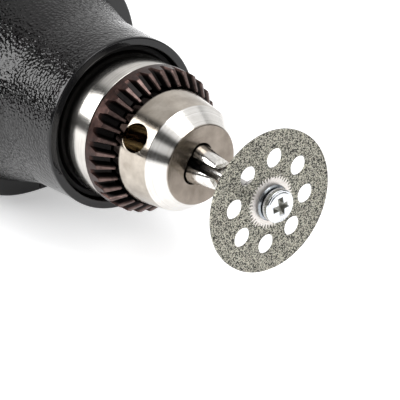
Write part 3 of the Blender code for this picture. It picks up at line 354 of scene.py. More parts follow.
def shell_outline():
    """(place, radius, outside) loop of a shell's wall."""
    loop = []
    for step in range(EDGE_STEPS + 1):
        angle = TURN / 4 * step / EDGE_STEPS
        loop.append((shell_front - SHELL_EDGE * (1 - math.cos(angle)),
                     SHELL_FRONT_R - SHELL_EDGE * (1 - math.sin(angle)), True))
    start = shell_front - SHELL_EDGE
    for step in range(1, SWELL_STEPS + 1):
        share = step / SWELL_STEPS
        loop.append((start + (SWELL_S - start) * share,
                     SHELL_FRONT_R + (SHELL_R - SHELL_FRONT_R) * math.sin(TURN / 4 * share), True))
    for step in range(TAIL_STEPS + 1):
        angle = TURN / 4 * step / TAIL_STEPS
        loop.append((TAIL_S + (shell_back - TAIL_S) * math.sin(angle),
                     SHELL_R + (BACK_R - SHELL_R) * (1 - math.cos(angle)), True))
    inner = [(shell_back, GLAND_R), (CAVITY_BACK, GLAND_R), (CAVITY_BACK, CAVITY_R),
             (SPIGOT_BACK, CAVITY_R), (SPIGOT_BACK, SPIGOT_R), (shell_front, SPIGOT_R)]
    return loop + [(place, radius, False) for place, radius in inner]


def flattened(radius, angle):
    """Radius at an angle, eased onto the four flats."""
    sides = (FLAT / radius, abs(math.cos(angle)), abs(math.sin(angle)))
    return FLAT * sum(side ** FLAT_SHARPNESS for side in sides) ** (-1 / FLAT_SHARPNESS)


def half_shell(name, side):
    """Half shell on the left (1) or the right (-1) of the seam."""
    bm = bmesh.new()
    rows = []
    for place, radius, outside in shell_outline():
        row = []
        for column in range(SHELL_COLUMNS + 1):
            angle = TURN / 2 * (column / SHELL_COLUMNS - 0.5)
            reach = flattened(radius, angle) if outside else radius
            point = on_tool(place, reach, angle)
            row.append(bm.verts.new((point.x, side * max(point.y, SEAM), point.z)))
        rows.append(row)
    for index, row in enumerate(rows):
        following = rows[(index + 1) % len(rows)]
        for column in range(SHELL_COLUMNS):
            bm.faces.new([row[column], row[column + 1], following[column + 1], following[column]])
    for column in (0, SHELL_COLUMNS):
        bm.faces.new([row[column] for row in rows])
    return from_bmesh(name, bm)


# ABS from a satin mould: an even black whose highlights spread softly, with a faint cloud in it.
shell_abs, tree, shader, centred = new_finish("smooth_black_abs", IOR=1.5)
SATIN = 0.25 * MM       # fine satin of the mould, drawn a little coarser than it is
SATIN_DEPTH = 0.03 * MM
SHELL_CLOUD = 6.0 * MM
satin, cloud = [
    add_node(tree, "ShaderNodeTexNoise", {"Vector": centred, "Scale": 1 / size, "Detail": GRAIN_DETAIL})
    for size in (SATIN, SHELL_CLOUD)
]
colour = tone(tree, cloud, "#121213", "#1c1c1d")
finish_with(tree, shader, colour, satin, roughness=(0.30, 0.50), height=satin, depth=SATIN_DEPTH)
VENT_HALF_HEIGHT = 0.8 * MM
VENT_CORNER = 0.75 * VENT_HALF_HEIGHT
VENT_INNER_Y = 15.0 * MM
VENT_STEP = 4.0 * MM
# Back and front of a row of vents, height of its lowest slot over the axis and number of slots.
VENT_ROWS = [(-45.0 * MM, -37.0 * MM, -8.0 * MM, 5), (-122.0 * MM, -108.0 * MM, -10.0 * MM, 4)]
BRUSH_S = -84.0 * MM
PORT_R = 5.0 * MM
PORT_INNER_Y = 19.4 * MM
# Back, front and half width of the slots in the top flat.
SLIDER_SLOT = (-118.8 * MM, -103.2 * MM, 3.3 * MM)
DIAL_SLOT = (-140.4 * MM, -124.6 * MM, 2.8 * MM)
SLOT_LOW = 16.8 * MM
SLOT_CORNER = 0.5 * MM
OUTSIDE = SHELL_R + 1.0 * MM
SCREW_NODES = ["housing_screw_" + str(number) for number in range(1, 7)]
SEAT_R = 2.5 * MM
SEAT_Y = 10.0 * MM
STEM_HOLE_R = 1.5 * MM


def screw_centre(node):
    """Middle of a housing screw on the seam plane."""
    low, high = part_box(node)
    return Vector(((low.x + high.x) / 2, 0, (low.z + high.z) / 2))


for name, side, node in (("left_shell", 1, "housing_left"), ("right_shell", -1, "housing_right")):
    shell = half_shell(name, side)
    outward = LEFT * side
    cutters = []
    for back, front, lowest, count in VENT_ROWS:
        slot = rounded_box((front - back) / 2, VENT_HALF_HEIGHT, VENT_CORNER)
        middle = on_tool((back + front) / 2) + UP * lowest
        vent = prism("vent", slot, middle + outward * VENT_INNER_Y, middle + outward * OUTSIDE, FORWARD, UP)
        cutters.append(in_a_row(name + "_vents", vent, count, UP * VENT_STEP, shell_abs))
    brush = on_tool(BRUSH_S)
    cutters.append(rod("port", brush + outward * PORT_INNER_Y, brush + outward * OUTSIDE, PORT_R))
    for back, front, half_width in (SLIDER_SLOT, DIAL_SLOT):
        middle = on_tool((back + front) / 2)
        slot = rounded_box((front - back) / 2, half_width, SLOT_CORNER)
        cutters.append(prism("slot", slot, middle + UP * SLOT_LOW, middle + UP * OUTSIDE, FORWARD, LEFT))
    if side < 0:
        for screw in SCREW_NODES:
            centre = screw_centre(screw)
            cutters.append(rod("seat", centre - LEFT * SEAT_Y, centre - LEFT * OUTSIDE, SEAT_R))
            cutters.append(rod("stem", centre + LEFT * MM, centre - LEFT * (SEAT_Y + MM), STEM_HOLE_R))
    cut_away(shell, *cutters)
    dress(shell, shell_abs, "housing", "shell_plastic", node)

# Housing screws
# Six pan head screws of black oxidised steel with a cross recess, cold headed and rolled.
# They sit sunk in the right half and draw it against the left one.
SCREW_HEAD = 1.8 * MM
SCREW_DOME = 0.7 * MM
SCREW_STEM_R = 1.2 * MM
SCREW_RECESS = (2.6 * MM, 0.6 * MM, 1.0 * MM)       # length, width and depth of the cross
FIRST_RECESS_TURN = 0.4                             # each screw stopped at another angle
FILLET_SHARE = 0.48         # a fillet takes less than half of the shorter side
ON_AXIS = 1e-7              # a smaller radius is one point on the axis


def filleted(corners, arc_points=4):
    """Outline of (radius, place, fillet) corners with each fillet drawn as an arc."""
    outline = []
    for index, (radius, place, fillet) in enumerate(corners):
        here = Vector((radius, place))
        if fillet == 0:
            outline.append(here)
            continue
        before = Vector(corners[index - 1][:2]) - here
        after = Vector(corners[(index + 1) % len(corners)][:2]) - here
        reach = fillet / math.tan(before.angle(after) / 2)
        reach = min(reach, FILLET_SHARE * before.length, FILLET_SHARE * after.length)
        start = here + before.normalized() * reach
        end = here + after.normalized() * reach
        for step in range(arc_points + 1):
            share = step / arc_points
            outline.append(start * (1 - share) ** 2 + here * 2 * share * (1 - share) + end * share ** 2)
    return outline


def turned(name, outline, steps, base=on_tool(0), along=FORWARD):
    """Closed solid of revolution from (radius, place) points about a line from its base."""
    turn = along.to_track_quat("X", "Z").to_matrix()
    bm = bmesh.new()
    rings = []
    for radius, place in outline:
        count = 1 if radius < ON_AXIS else steps
        ring = []
        for index in range(count):
            angle = TURN * index / steps
            ring.append(base + turn @ Vector((place, radius * math.cos(angle), radius * math.sin(angle))))
        rings.append([bm.verts.new(point) for point in ring])
    pairs = list(zip(rings, rings[1:]))
    if len(rings[0]) > 1:
        pairs.append((rings[-1], rings[0]))
    for first, second in pairs:
        for i in range(steps):
            j = (i + 1) % steps
            corners = [first[i % len(first)], first[j % len(first)],
                       second[j % len(second)], second[i % len(second)]]
            corners = list(dict.fromkeys(corners))
            if len(corners) > 2:
                bm.faces.new(corners)
    return from_bmesh(name, bm)


def cross_recess(top, along, size, tilt):
    """Two crossed wedges that cut a screwdriver recess into a head."""
    long, wide, deep = size
    above = 0.3 * deep
    tip = 0.2 * long
    blade = [(-long / 2, above), (long / 2, above), (tip, -deep), (-tip, -deep)]
    turn = along.to_track_quat("X", "Z").to_matrix()
    wedges = []
    for angle in (tilt, tilt + TURN / 4):
        across = turn @ Vector((0, math.cos(angle), math.sin(angle)))
        beside = along.cross(across)
        start = top - beside * wide / 2
        wedges.append(prism("recess", blade, start, top + beside * wide / 2, across, along))
    return wedges


# Oil-blacked steel: nearly black, with a metal's tight highlight.
black_steel = grained("black_oxide_steel", "#1d1d1f", "#343437",
                      rough=0.38, size=0.5 * MM, depth=0.01 * MM, Metallic=0.9)
for index, node in enumerate(SCREW_NODES):
    low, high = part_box(node)
    head_r = (high.z - low.z) / 2
    length = high.y - low.y
    outline = filleted([
        (0, length, 0), (0.6 * head_r, length, 1.2 * MM), (head_r, length - SCREW_DOME, 0.6 * MM),
        (head_r, length - SCREW_HEAD, 0.15 * MM), (SCREW_STEM_R, length - SCREW_HEAD, 0),
        (SCREW_STEM_R, 0, 0.3 * MM), (0, 0, 0),
    ])
    centre = screw_centre(node)
    foot = Vector((centre.x, high.y, centre.z))
    screw = turned(node + "_pan", outline, steps=40, base=foot, along=-LEFT)
    top = Vector((centre.x, low.y, centre.z))
    cut_away(screw, *cross_recess(top, -LEFT, SCREW_RECESS, FIRST_RECESS_TURN + index))
    dress(screw, black_steel, "housing", "black_screw", node)

# Brush caps
# Slotted screw caps of black nylon over the carbon brushes, one in each flank. Each is moulded
# with a shallow groove round its face and is screwed into its port.
CAP_SLOT_WIDE = 1.2 * MM
CAP_SLOT_DEEP = 1.0 * MM
CAP_GROOVE = 0.25 * MM
# Moulded nylon: black with a soft, slightly waxy shine.
cap_nylon = grained("black_moulded_nylon", "#151516", "#212123",
                    rough=0.42, size=0.5 * MM, depth=0.02 * MM, IOR=1.5)
for node, side in (("brush_cap_left", 1), ("brush_cap_right", -1)):
    low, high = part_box(node)
    cap_r = (high.z - low.z) / 2
    thick = high.y - low.y
    inner = low.y if side > 0 else high.y
    base = Vector(((low.x + high.x) / 2, inner, (low.z + high.z) / 2))
    outward = LEFT * side
    cap = turned(node + "_turned", filleted([
        (0, thick, 0), (0.55 * cap_r, thick, 0), (0.6 * cap_r, thick - CAP_GROOVE, 0.2 * MM),
        (0.78 * cap_r, thick - CAP_GROOVE, 0.2 * MM), (0.83 * cap_r, thick, 0.2 * MM),
        (cap_r, thick, 0.3 * MM), (cap_r, 0, 0.2 * MM), (0, 0, 0),
    ]), steps=72, base=base, along=outward)
    slot = [(-CAP_SLOT_WIDE / 2, -CAP_SLOT_DEEP), (CAP_SLOT_WIDE / 2, -CAP_SLOT_DEEP),
            (CAP_SLOT_WIDE / 2, CAP_SLOT_DEEP), (-CAP_SLOT_WIDE / 2, CAP_SLOT_DEEP)]
    face = base + outward * thick
    slot_run = FORWARD * 2 * cap_r
    cut_away(cap, prism("slot", slot, face - slot_run, face + slot_run, UP, outward))
    dress(cap, cap_nylon, "housing", "shell_plastic", node)

# Brush springs
# A coil of spring steel wire between each brush and its cap. In the tool it shortens as the brush
# slides out; here it is drawn at one length.
SPRING_WIRE_R = 0.25 * MM
SPRING_TURNS = 5
SPRING_TURN_POINTS = 20
# Drawn and oiled wire: bright grey with a narrow highlight along each turn.
spring_steel = grained("oiled_spring_steel", "#8d8f92", "#b4b6b9",
                       rough=0.28, size=0.4 * MM, depth=0.005 * MM, Metallic=1.0)
for side, name in ((1, "left"), (-1, "right")):
    low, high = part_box("brush_spring_" + name)
    middle = (low + high) / 2
    coil_r = (high.z - low.z) / 2 - SPRING_WIRE_R
    inner, outer = sorted((low.y, high.y), key=abs)
    start = inner + side * SPRING_WIRE_R
    end = outer - side * SPRING_WIRE_R
    wire = bpy.data.curves.new("spring_wire", "CURVE")
    wire.dimensions = "3D"
    wire.bevel_depth = SPRING_WIRE_R
    wire.bevel_resolution = 2
    wire.use_fill_caps = True
    spline = wire.splines.new("POLY")
    count = SPRING_TURNS * SPRING_TURN_POINTS
    spline.points.add(count)
    for index, point in enumerate(spline.points):
        angle = TURN * index / SPRING_TURN_POINTS
        point.co = (middle.x + coil_r * math.cos(angle), start + (end - start) * index / count,
                    middle.z + coil_r * math.sin(angle), 1)
    coil = bpy.data.objects.new("spring_wire", wire)
    bm = bmesh.new()
    bm.from_mesh(coil.to_mesh())
    spring = from_bmesh("spring_" + name, bm)
    bpy.data.objects.remove(coil)
    spring.data.materials.append(spring_steel)
    spring.data.polygons.foreach_set("use_smooth", [True] * len(spring.data.polygons))
    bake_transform(spring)
    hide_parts("brush_spring_" + name)

# Power switch
# A ribbed slider of dark grey plastic on the top flat, moulded in one with its stem and the
# flange that holds it in the slot. The stem works the switch below.
low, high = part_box("power_switch")
CAP_LOW = AXIS_Z + FLAT + 0.3 * MM
CAP_CORNER = 1.6 * MM
STEM = (5.0 * MM, 3.0 * MM)                 # half length and half width
FLANGE = (6.0 * MM, 4.2 * MM)
FLANGE_HEIGHT = 2.2 * MM
RIBS = 6
RIB_STEP = 2.4 * MM
GROOVE_HALF = 0.55 * MM
GROOVE_DEEP = 1.2 * MM
GROOVE_CORNER = 0.5 * MM
middle = Vector(((low.x + high.x) / 2, 0, 0))
half_long = (high.x - low.x) / 2
half_wide = (high.y - low.y) / 2
# Plastic coloured in the mass: dark grey with a half-matt skin, paler than the black shells.
slider_grey = grained("dark_grey_moulding", "#2b2c2e", "#3a3b3e",
                      rough=0.48, size=0.4 * MM, depth=0.03 * MM, IOR=1.5)
slider_cap = prism("slider_cap", rounded_box(half_long, half_wide, CAP_CORNER), middle + UP * CAP_LOW,
                   middle + UP * high.z, FORWARD, LEFT)
first_groove = middle + UP * high.z - FORWARD * RIB_STEP * (RIBS - 1) / 2
groove_run = LEFT * 2 * half_wide
groove = prism("groove", rounded_box(GROOVE_HALF, GROOVE_DEEP, GROOVE_CORNER),
               first_groove - groove_run, first_groove + groove_run, FORWARD, UP)
cut_away(slider_cap, in_a_row("grooves", groove, RIBS, FORWARD * RIB_STEP, slider_grey))
ease_edges(slider_cap, 0.2 * MM)
bm = bmesh.new()
bm.from_mesh(slider_cap.data)
for (half_x, half_y), top in ((STEM, CAP_LOW), (FLANGE, low.z + FLANGE_HEIGHT)):
    size = Matrix.Diagonal((2 * half_x, 2 * half_y, top - low.z, 1))
    bmesh.ops.create_cube(bm, size=1, matrix=Matrix.Translation(middle + UP * (top + low.z) / 2) @ size)
bm.to_mesh(slider_cap.data)
bm.free()
dress(slider_cap, slider_grey, "slider", "switch_grey", "power_switch")

# Speed dial
# A notched thumbwheel of the slider's grey plastic, moulded with its pin. It turns in the
# speed control and stands a little out of its slot at the rear.
low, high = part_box("speed_dial")
hub = Vector(((low.x + high.x) / 2, 0, (low.z + high.z) / 2))
DIAL_R = 8.6 * MM
DIAL_HALF = 2.3 * MM
DIAL_DISH = 0.4 * MM
PIN_R = 1.8 * MM
NOTCHES = 24
NOTCH_R = 0.6 * MM
round_tree, given = repeat_tree("round_an_axis", {
    "Count": "NodeSocketInt", "Centre": "NodeSocketVector", "Axis": "NodeSocketVector",
})
points = add_node(round_tree, "GeometryNodePoints", {
    "Count": given.outputs["Count"], "Position": given.outputs["Centre"],
})
place = add_node(round_tree, "GeometryNodeInputIndex")
share = add_node(round_tree, "ShaderNodeMath", {0: place, 1: given.outputs["Count"]}, operation="DIVIDE")
angle = add_node(round_tree, "ShaderNodeMath", {0: share, 1: TURN}, operation="MULTIPLY")
spin = add_node(round_tree, "FunctionNodeAxisAngleToRotation", {
    "Axis": given.outputs["Axis"], "Angle": angle,
})
end_tree(round_tree, given, points, Rotation=spin)


def round_an_axis(name, piece, count, centre, axis, finish):
    """Copies of a piece, modelled about the world origin, set evenly round an axis."""
    return set_by_nodes(name, round_tree, {
        "Count": count, "Centre": centre, "Axis": axis, "Piece": piece, "Finish": finish,
    })


dial = turned("dial", filleted([
    (0, high.y, 0), (PIN_R, high.y, 0), (PIN_R, DIAL_HALF, 0), (0.8 * DIAL_R, DIAL_HALF, 0),
    (DIAL_R, DIAL_HALF, 0.4 * MM), (DIAL_R, -DIAL_HALF, 0.4 * MM), (0.85 * DIAL_R, -DIAL_HALF, 0.2 * MM),
    (0.8 * DIAL_R, DIAL_DISH - DIAL_HALF, 0.2 * MM), (0, DIAL_DISH - DIAL_HALF, 0),
]), steps=96, base=hub, along=LEFT)
notch_run = LEFT * 2 * DIAL_HALF
notch = rod("notch", UP * DIAL_R - notch_run, UP * DIAL_R + notch_run, NOTCH_R, steps=20)
cut_away(dial, round_an_axis("dial_notches", notch, NOTCHES, hub, LEFT, slider_grey))
dress(dial, slider_grey, "dial", "switch_grey", "speed_dial")

# Cord gland
# A ribbed bend protector moulded in black rubber and bored for the cord. Its groove snaps over
# the rear wall, with a flange inside and a tapered boot outside.
gland_back, gland_front = span("cord_gland")
BORE_R = 3.2 * MM
GLAND_NECK_R = 4.9 * MM
FLANGE_R = 7.5 * MM
BOOT_R = 6.6 * MM
TIP_R = 4.6 * MM
LIP = 2.0 * MM
WALL_GAP = 0.3 * MM
RIB_COUNT = 7
RIB_DEPTH = 0.7 * MM
boot_front = shell_back - WALL_GAP
flange_back = CAVITY_BACK + WALL_GAP
corners = [
    (BORE_R, gland_front, 0), (FLANGE_R, gland_front, 0.3 * MM), (FLANGE_R, flange_back, 0),
    (GLAND_NECK_R, flange_back, 0), (GLAND_NECK_R, boot_front, 0), (BOOT_R, boot_front, 0.4 * MM),
    (BOOT_R, boot_front - LIP, 0.4 * MM),
]
rib_length = (boot_front - LIP - gland_back) / RIB_COUNT
for index in range(RIB_COUNT):
    for share, drop in ((0.0, RIB_DEPTH), (0.4, RIB_DEPTH), (0.55, 0.0), (1.0, 0.0)):
        along = (index + share) / RIB_COUNT
        corners.append((BOOT_R + (TIP_R - BOOT_R) * along - drop,
                        boot_front - LIP - rib_length * (index + share), 0.25 * MM))
corners.append((BORE_R, gland_back, 0.3 * MM))
gland = turned("bend_protector", filleted(corners), steps=72)
# Moulded rubber: black with a broad, weak sheen.
rubber = grained("moulded_black_rubber", "#0c0c0c", "#181818",
                 rough=0.5, size=0.4 * MM, depth=0.03 * MM, IOR=1.5)
dress(gland, rubber, "housing", "rubber", "cord_gland")

# Nose
# Black plastic, moulded in a spark-eroded tool that leaves coarse pebbles. It flares back into
# the body, where its spigot is clamped by the half shells, and its collar's rim is smooth.
COLLAR_R = 16.0 * MM
COLLAR_BORE_R = 14.5 * MM
COLLAR_BACK = -3.0 * MM
NECK_R = 16.5 * MM
NECK_S = -13.0 * MM
SHOULDER_R = 20.2 * MM
SHOULDER_S = -27.0 * MM
FLARE_POWER = 1.25
FLARE_POINTS = 28
RECESS_S = -11.0 * MM
SHAFT_HOLE_R = 7.5 * MM
BEARING_LIP = -14.7 * MM
BEARING_R = 9.8 * MM
FAN_ROOM_R = 17.8 * MM
FAN_ROOM_S = -22.0 * MM
NOSE_SPIGOT_R = 19.6 * MM
FINE_STEPS = 160            # steps round the pieces that the camera sees close up
nose_back = span("nose_housing")[0]
collar = filleted([
    (COLLAR_BORE_R, RECESS_S, 0), (COLLAR_BORE_R, 0, 0.2 * MM), (COLLAR_R, 0, 0.35 * MM),
    (COLLAR_R, COLLAR_BACK, 4.0 * MM), (NECK_R, NECK_S, 0),
])[:-1]
flare = []
for index in range(FLARE_POINTS + 1):
    share = index / FLARE_POINTS
    flare.append(Vector((NECK_R + (SHOULDER_R - NECK_R) * share ** FLARE_POWER,
                         NECK_S + (SHOULDER_S - NECK_S) * share)))
inside = filleted([
    (NOSE_SPIGOT_R, SHOULDER_S, 0), (NOSE_SPIGOT_R, nose_back, 0.3 * MM), (FAN_ROOM_R, nose_back, 0),
    (FAN_ROOM_R, FAN_ROOM_S, 0), (BEARING_R, FAN_ROOM_S, 0), (BEARING_R, BEARING_LIP, 0),
    (SHAFT_HOLE_R, BEARING_LIP, 0), (SHAFT_HOLE_R, RECESS_S, 0),
])
nose = turned("nose", [*collar, *flare, *inside], FINE_STEPS)
# ABS off an eroded mould: deep black, and its glossy pebbles break each highlight into glints.
# The rim has almost no pebbles, and a painted highlight makes its front edge a little paler.
nose_abs, tree, shader, centred = new_finish("spark_eroded_black_abs", IOR=1.42)
PEBBLE = 0.52 * MM          # pebble pitch of the eroded mould
PEBBLE_DETAIL = 0.7         # few octaves, so that the pebbles stay round
PEBBLE_DEPTH = 0.075 * MM
SMOOTH_RIM = 0.3 * MM
RIM_FADE = 0.4 * MM
RIM_RELIEF = 0.1
along = add_node(tree, "ShaderNodeSeparateXYZ", {"Vector": centred}).outputs["X"]
lumps = add_node(tree, "ShaderNodeTexNoise", {
    "Vector": centred, "Scale": 1 / PEBBLE, "Detail": PEBBLE_DETAIL,
})
pebbles = add_node(tree, "ShaderNodeMapRange", {"Value": lumps, "From Min": 0.3, "From Max": 0.7})
textured = add_node(tree, "ShaderNodeMapRange", {
    "Value": along, "From Min": -SMOOTH_RIM - RIM_FADE, "From Max": -SMOOTH_RIM,
    "To Min": 1.0, "To Max": RIM_RELIEF,
})
relief = add_node(tree, "ShaderNodeMath", {0: pebbles, 1: textured}, operation="MULTIPLY")
# Painted shade: the pebbles' valleys are painted darker than their tops.
colour = tone(tree, pebbles, "#030303", "#100f0f")
# Painted highlight: the front 0.2 mm of the collar is painted paler.
colour = tone(tree, along, colour, "#19191a", start=-0.5 * MM, end=-0.2 * MM)
finish_with(tree, shader, colour, pebbles, roughness=(0.08, 0.04), height=relief, depth=PEBBLE_DEPTH)
dress(nose, nose_abs, "housing", "nose_plastic", "nose_housing")

# Dust ring
# A ring of black rubber, moulded with a rounded front edge. It lies in the collar's recess,
# close round the chuck sleeve.
ring_back, ring_front = span("dust_ring")
RING_R = 13.3 * MM
RING_OUTER_R = 14.2 * MM
dust_ring = turned("dust_seal", filleted([
    (RING_R, ring_front, 0.25 * MM), (RING_OUTER_R, ring_front, 0.25 * MM),
    (RING_OUTER_R, ring_back, 0), (RING_R, ring_back, 0),
]), FINE_STEPS)
# Rubber dulled by dust: the blackest thing on the tool, with no clear highlight.
dull_rubber = grained("dusty_black_rubber", "#040404", "#0b0b0b",
                      rough=0.8, size=0.4 * MM, depth=0.03 * MM, IOR=1.4)
dress(dust_ring, dull_rubber, "housing", "rubber", "dust_ring")

# Chuck body
# Bright turned steel with two tapers and a flat nose, three key holes drilled between the
# jaws and three slanted jaw bores that merge at the nose. It is screwed onto the spindle.
CLEARANCE = 0.3 * MM
BODY_BACK = 6.4 * MM
BODY_R = 10.5 * MM
TAIL_R = 6.5 * MM
BODY_SHOULDER = 12.6 * MM
TAPER_R = 9.6 * MM
TAPER_S = 18.7 * MM
NOSE_R = 7.15 * MM
NOSE_S = 22.0 * MM
SHANK_BORE_R = 3.2 * MM
SHANK_FLOOR = -0.5 * MM
JAW_ANGLES = [math.radians(90 + 120 * index) for index in range(3)]
JAW_TILT = math.radians(11)
JAW_R = 2.0 * MM
JAW_TIP_S = 27.5 * MM
JAW_TIP_OFFSET = 0.65 * MM
JAW_REACH = 30.0 * MM
JAW_ROOM_S = -5.5 * MM
KEY_HOLE_R = 2.6 * MM
KEY_HOLE_S = 15.0 * MM
KEY_HOLE_FLOOR = 5.2 * MM


def bore_point(angle, place):
    """Point on a slanted jaw bore's own axis."""
    return on_tool(place, JAW_TIP_OFFSET + (JAW_TIP_S - place) * math.tan(JAW_TILT), angle)


chuck_back = span("chuck_body")[0]
body = turned("chuck_body_turned", filleted([
    (0, SHANK_FLOOR, 0), (SHANK_BORE_R, SHANK_FLOOR, 0), (SHANK_BORE_R, NOSE_S, 0.12 * MM),
    (NOSE_R, NOSE_S, 0.25 * MM), (TAPER_R, TAPER_S, 0.35 * MM), (BODY_R, BODY_SHOULDER, 0.3 * MM),
    (BODY_R, BODY_BACK, 0), (TAIL_R, BODY_BACK, 0), (TAIL_R, chuck_back, 0), (0, chuck_back, 0),
]), FINE_STEPS)
cutters = []
for angle in JAW_ANGLES:
    jaw_room = bore_point(angle, JAW_ROOM_S)
    cutters.append(rod("bore", jaw_room, bore_point(angle, JAW_REACH), JAW_R + CLEARANCE))
    key_angle = angle + TURN / 6
    cutters.append(rod("key", on_tool(KEY_HOLE_S, KEY_HOLE_FLOOR, key_angle),
                       on_tool(KEY_HOLE_S, BODY_R + MM, key_angle), KEY_HOLE_R))
cut_away(body, *cutters)
ease_edges(body, 0.12 * MM)
LATHE_LINE = 0.3 * MM       # drawn coarser than the real feed so that the lines show
STEEL_CLOUD = 3.0 * MM
CLOUD_DETAIL = 4.0


def off_axis(tree, centred):
    """Distance from the spindle axis and place along it."""
    parts = add_node(tree, "ShaderNodeSeparateXYZ", {"Vector": centred})
    flat = add_node(tree, "ShaderNodeCombineXYZ", {"Y": parts.outputs["Y"], "Z": parts.outputs["Z"]})
    radius = add_node(tree, "ShaderNodeVectorMath", {0: flat}, operation="LENGTH")
    return radius.outputs["Value"], parts.outputs["X"]


def turned_steel(name, dark, light, roughness, line_depth, tint_and_painted_shade=None):
    """Satin steel off the lathe: fine rings round the axis, on tapers and flat faces alike."""
    material, tree, shader, centred = new_finish(name, Metallic=1.0)
    radius, along = off_axis(tree, centred)
    feed = add_node(tree, "ShaderNodeMath", {0: radius, 1: along}, operation="SUBTRACT")
    lines = add_node(tree, "ShaderNodeTexNoise", {
        "W": feed, "Scale": 1 / LATHE_LINE, "Detail": GRAIN_DETAIL,
    }, noise_dimensions="1D")
    cloud = add_node(tree, "ShaderNodeTexNoise", {
        "Vector": centred, "Scale": 1 / STEEL_CLOUD, "Detail": CLOUD_DETAIL,
    })
    half_cloud = add_node(tree, "ShaderNodeMath", {0: cloud, 1: 0.5}, operation="MULTIPLY")
    both = add_node(tree, "ShaderNodeMath", {0: lines, 1: 0.5, 2: half_cloud}, operation="MULTIPLY_ADD")
    colour = tone(tree, both, dark, light)
    if tint_and_painted_shade:
        colour = tint_and_painted_shade(tree, radius, along, cloud, colour)
    finish_with(tree, shader, colour, lines, roughness, lines, line_depth)
    return material


def chuck_stain(tree, radius, along, cloud, colour):
    """Painted shade darkens the drilled holes and the seam at the gear; the nose face is turned duller."""
    tapers = []
    for rear_r, front_r, rear, front in ((BODY_R, TAPER_R, BODY_SHOULDER, TAPER_S),
                                         (TAPER_R, NOSE_R, TAPER_S, NOSE_S)):
        tapers.append(add_node(tree, "ShaderNodeMapRange", {
            "Value": along, "From Min": rear, "From Max": front, "To Min": rear_r, "To Max": front_r,
        }))
    skin = add_node(tree, "ShaderNodeMath", dict(enumerate(tapers)), operation="MINIMUM")
    depth = add_node(tree, "ShaderNodeMath", {0: skin, 1: radius}, operation="SUBTRACT")
    drilled = add_node(tree, "ShaderNodeMapRange", {
        "Value": depth, "From Min": 0.5 * MM, "From Max": 3.0 * MM, "To Max": 0.8,
    })
    behind_face = add_node(tree, "ShaderNodeMapRange", {
        "Value": along, "From Min": NOSE_S - 0.3 * MM, "From Max": NOSE_S - 0.1 * MM,
        "To Min": 1.0, "To Max": 0.0,
    })
    # Painted shade: deep in the drilled holes the steel is painted darker and olive.
    painted_hole_shade = add_node(tree, "ShaderNodeMath", {0: drilled, 1: behind_face}, operation="MULTIPLY")
    tan = tone(tree, cloud, "#968d82", "#c0b8ad")
    colour = tone(tree, along, tan, colour, TAPER_S - 0.1 * MM, TAPER_S + 0.1 * MM)
    dull_face = tone(tree, cloud, "#766d64", "#968d83")
    colour = tone(tree, behind_face, dull_face, colour, 0.0, 1.0)
    colour = tone(tree, painted_hole_shade, colour, "#a89c80", 0.0, 1.0)
    # Painted shade: behind the shoulder, in the gap under the gear ring, the steel is painted near black.
    return tone(tree, along, "#1d1512", colour, BODY_SHOULDER - 0.1 * MM, BODY_SHOULDER + 0.25 * MM)


# Steel off the lathe: a satin mirror with fine rings, tan on the rear taper and dull on the face.
chuck_steel = turned_steel("satin_turned_steel", "#ccc8c2", "#edebe8",
                           roughness=(0.10, 0.22), line_depth=0.01 * MM, tint_and_painted_shade=chuck_stain)
dress(body, chuck_steel, "rotor", "chuck_steel", "chuck_body")

# Chuck jaws
# Three hardened rods in the slanted bores, ground flat where they grip and bevelled at the tip.
# Behind the nose each has a flat on its outer side, where the split nut's thread runs.
GRIP_R = 1.475 * MM
JAW_TIP_R = 2.2 * MM
JAW_BACK = 4.0 * MM
JAW_SLOT = 1.8 * MM
THREAD_FLAT = 1.0 * MM
THREAD_BACK = JAW_BACK - 3.0 * MM
THREAD_END = 21.6 * MM
THREAD_HALF = 3.0 * MM
THREAD_OVER = 4.0 * MM


def trim(bm, normal, point):
    """Cut away what lies ahead of a plane and close the cut."""
    geometry = bm.verts[:] + bm.edges[:] + bm.faces[:]
    cut = bmesh.ops.bisect_plane(bm, geom=geometry, plane_co=point, plane_no=normal, clear_outer=True)
    edges = [item for item in cut["geom_cut"] if isinstance(item, bmesh.types.BMEdge)]
    if edges:
        bmesh.ops.edgeloop_fill(bm, edges=edges)
        bmesh.ops.recalc_face_normals(bm, faces=bm.faces[:])


# Hardened and ground: the brightest steel here, nearly a mirror.
jaw_steel = grained("ground_jaw_steel", "#d6d2cc", "#f0eeea",
                    rough=0.17, size=0.5 * MM, depth=0.004 * MM, Metallic=1.0)
for index, angle in enumerate(JAW_ANGLES):
    outward = on_tool(0, 1, angle) - on_tool(0)
    sideways = FORWARD.cross(outward)
    name = "jaw_" + str(index + 1)
    jaw = rod(name, bore_point(angle, JAW_BACK), bore_point(angle, JAW_REACH), JAW_R, steps=64)
    bm = bmesh.new()
    bm.from_mesh(jaw.data)
    for side in (-1, 1):
        flank = -math.sin(TURN / 6) * outward + side * math.cos(TURN / 6) * sideways
        trim(bm, flank, on_tool(0) - flank * JAW_SLOT / 2)
    trim(bm, -outward, on_tool(0, GRIP_R, angle))
    trim(bm, FORWARD, on_tool(JAW_TIP_S))
    trim(bm, outward + FORWARD, on_tool(JAW_TIP_S, JAW_TIP_R, angle))
    bm.to_mesh(jaw.data)
    bm.free()
    thread_start = bore_point(angle, THREAD_BACK)
    thread_end = bore_point(angle, THREAD_END)
    away = sideways.cross(thread_end - thread_start).normalized()
    flat = [(-THREAD_HALF, THREAD_FLAT), (THREAD_HALF, THREAD_FLAT),
            (THREAD_HALF, THREAD_OVER), (-THREAD_HALF, THREAD_OVER)]
    cut_away(jaw, prism("flat", flat, thread_start, thread_end, sideways, away))
    ease_edges(jaw, 0.1 * MM)
    dress(jaw, jaw_steel, name, "jaw_steel", "chuck_" + name)

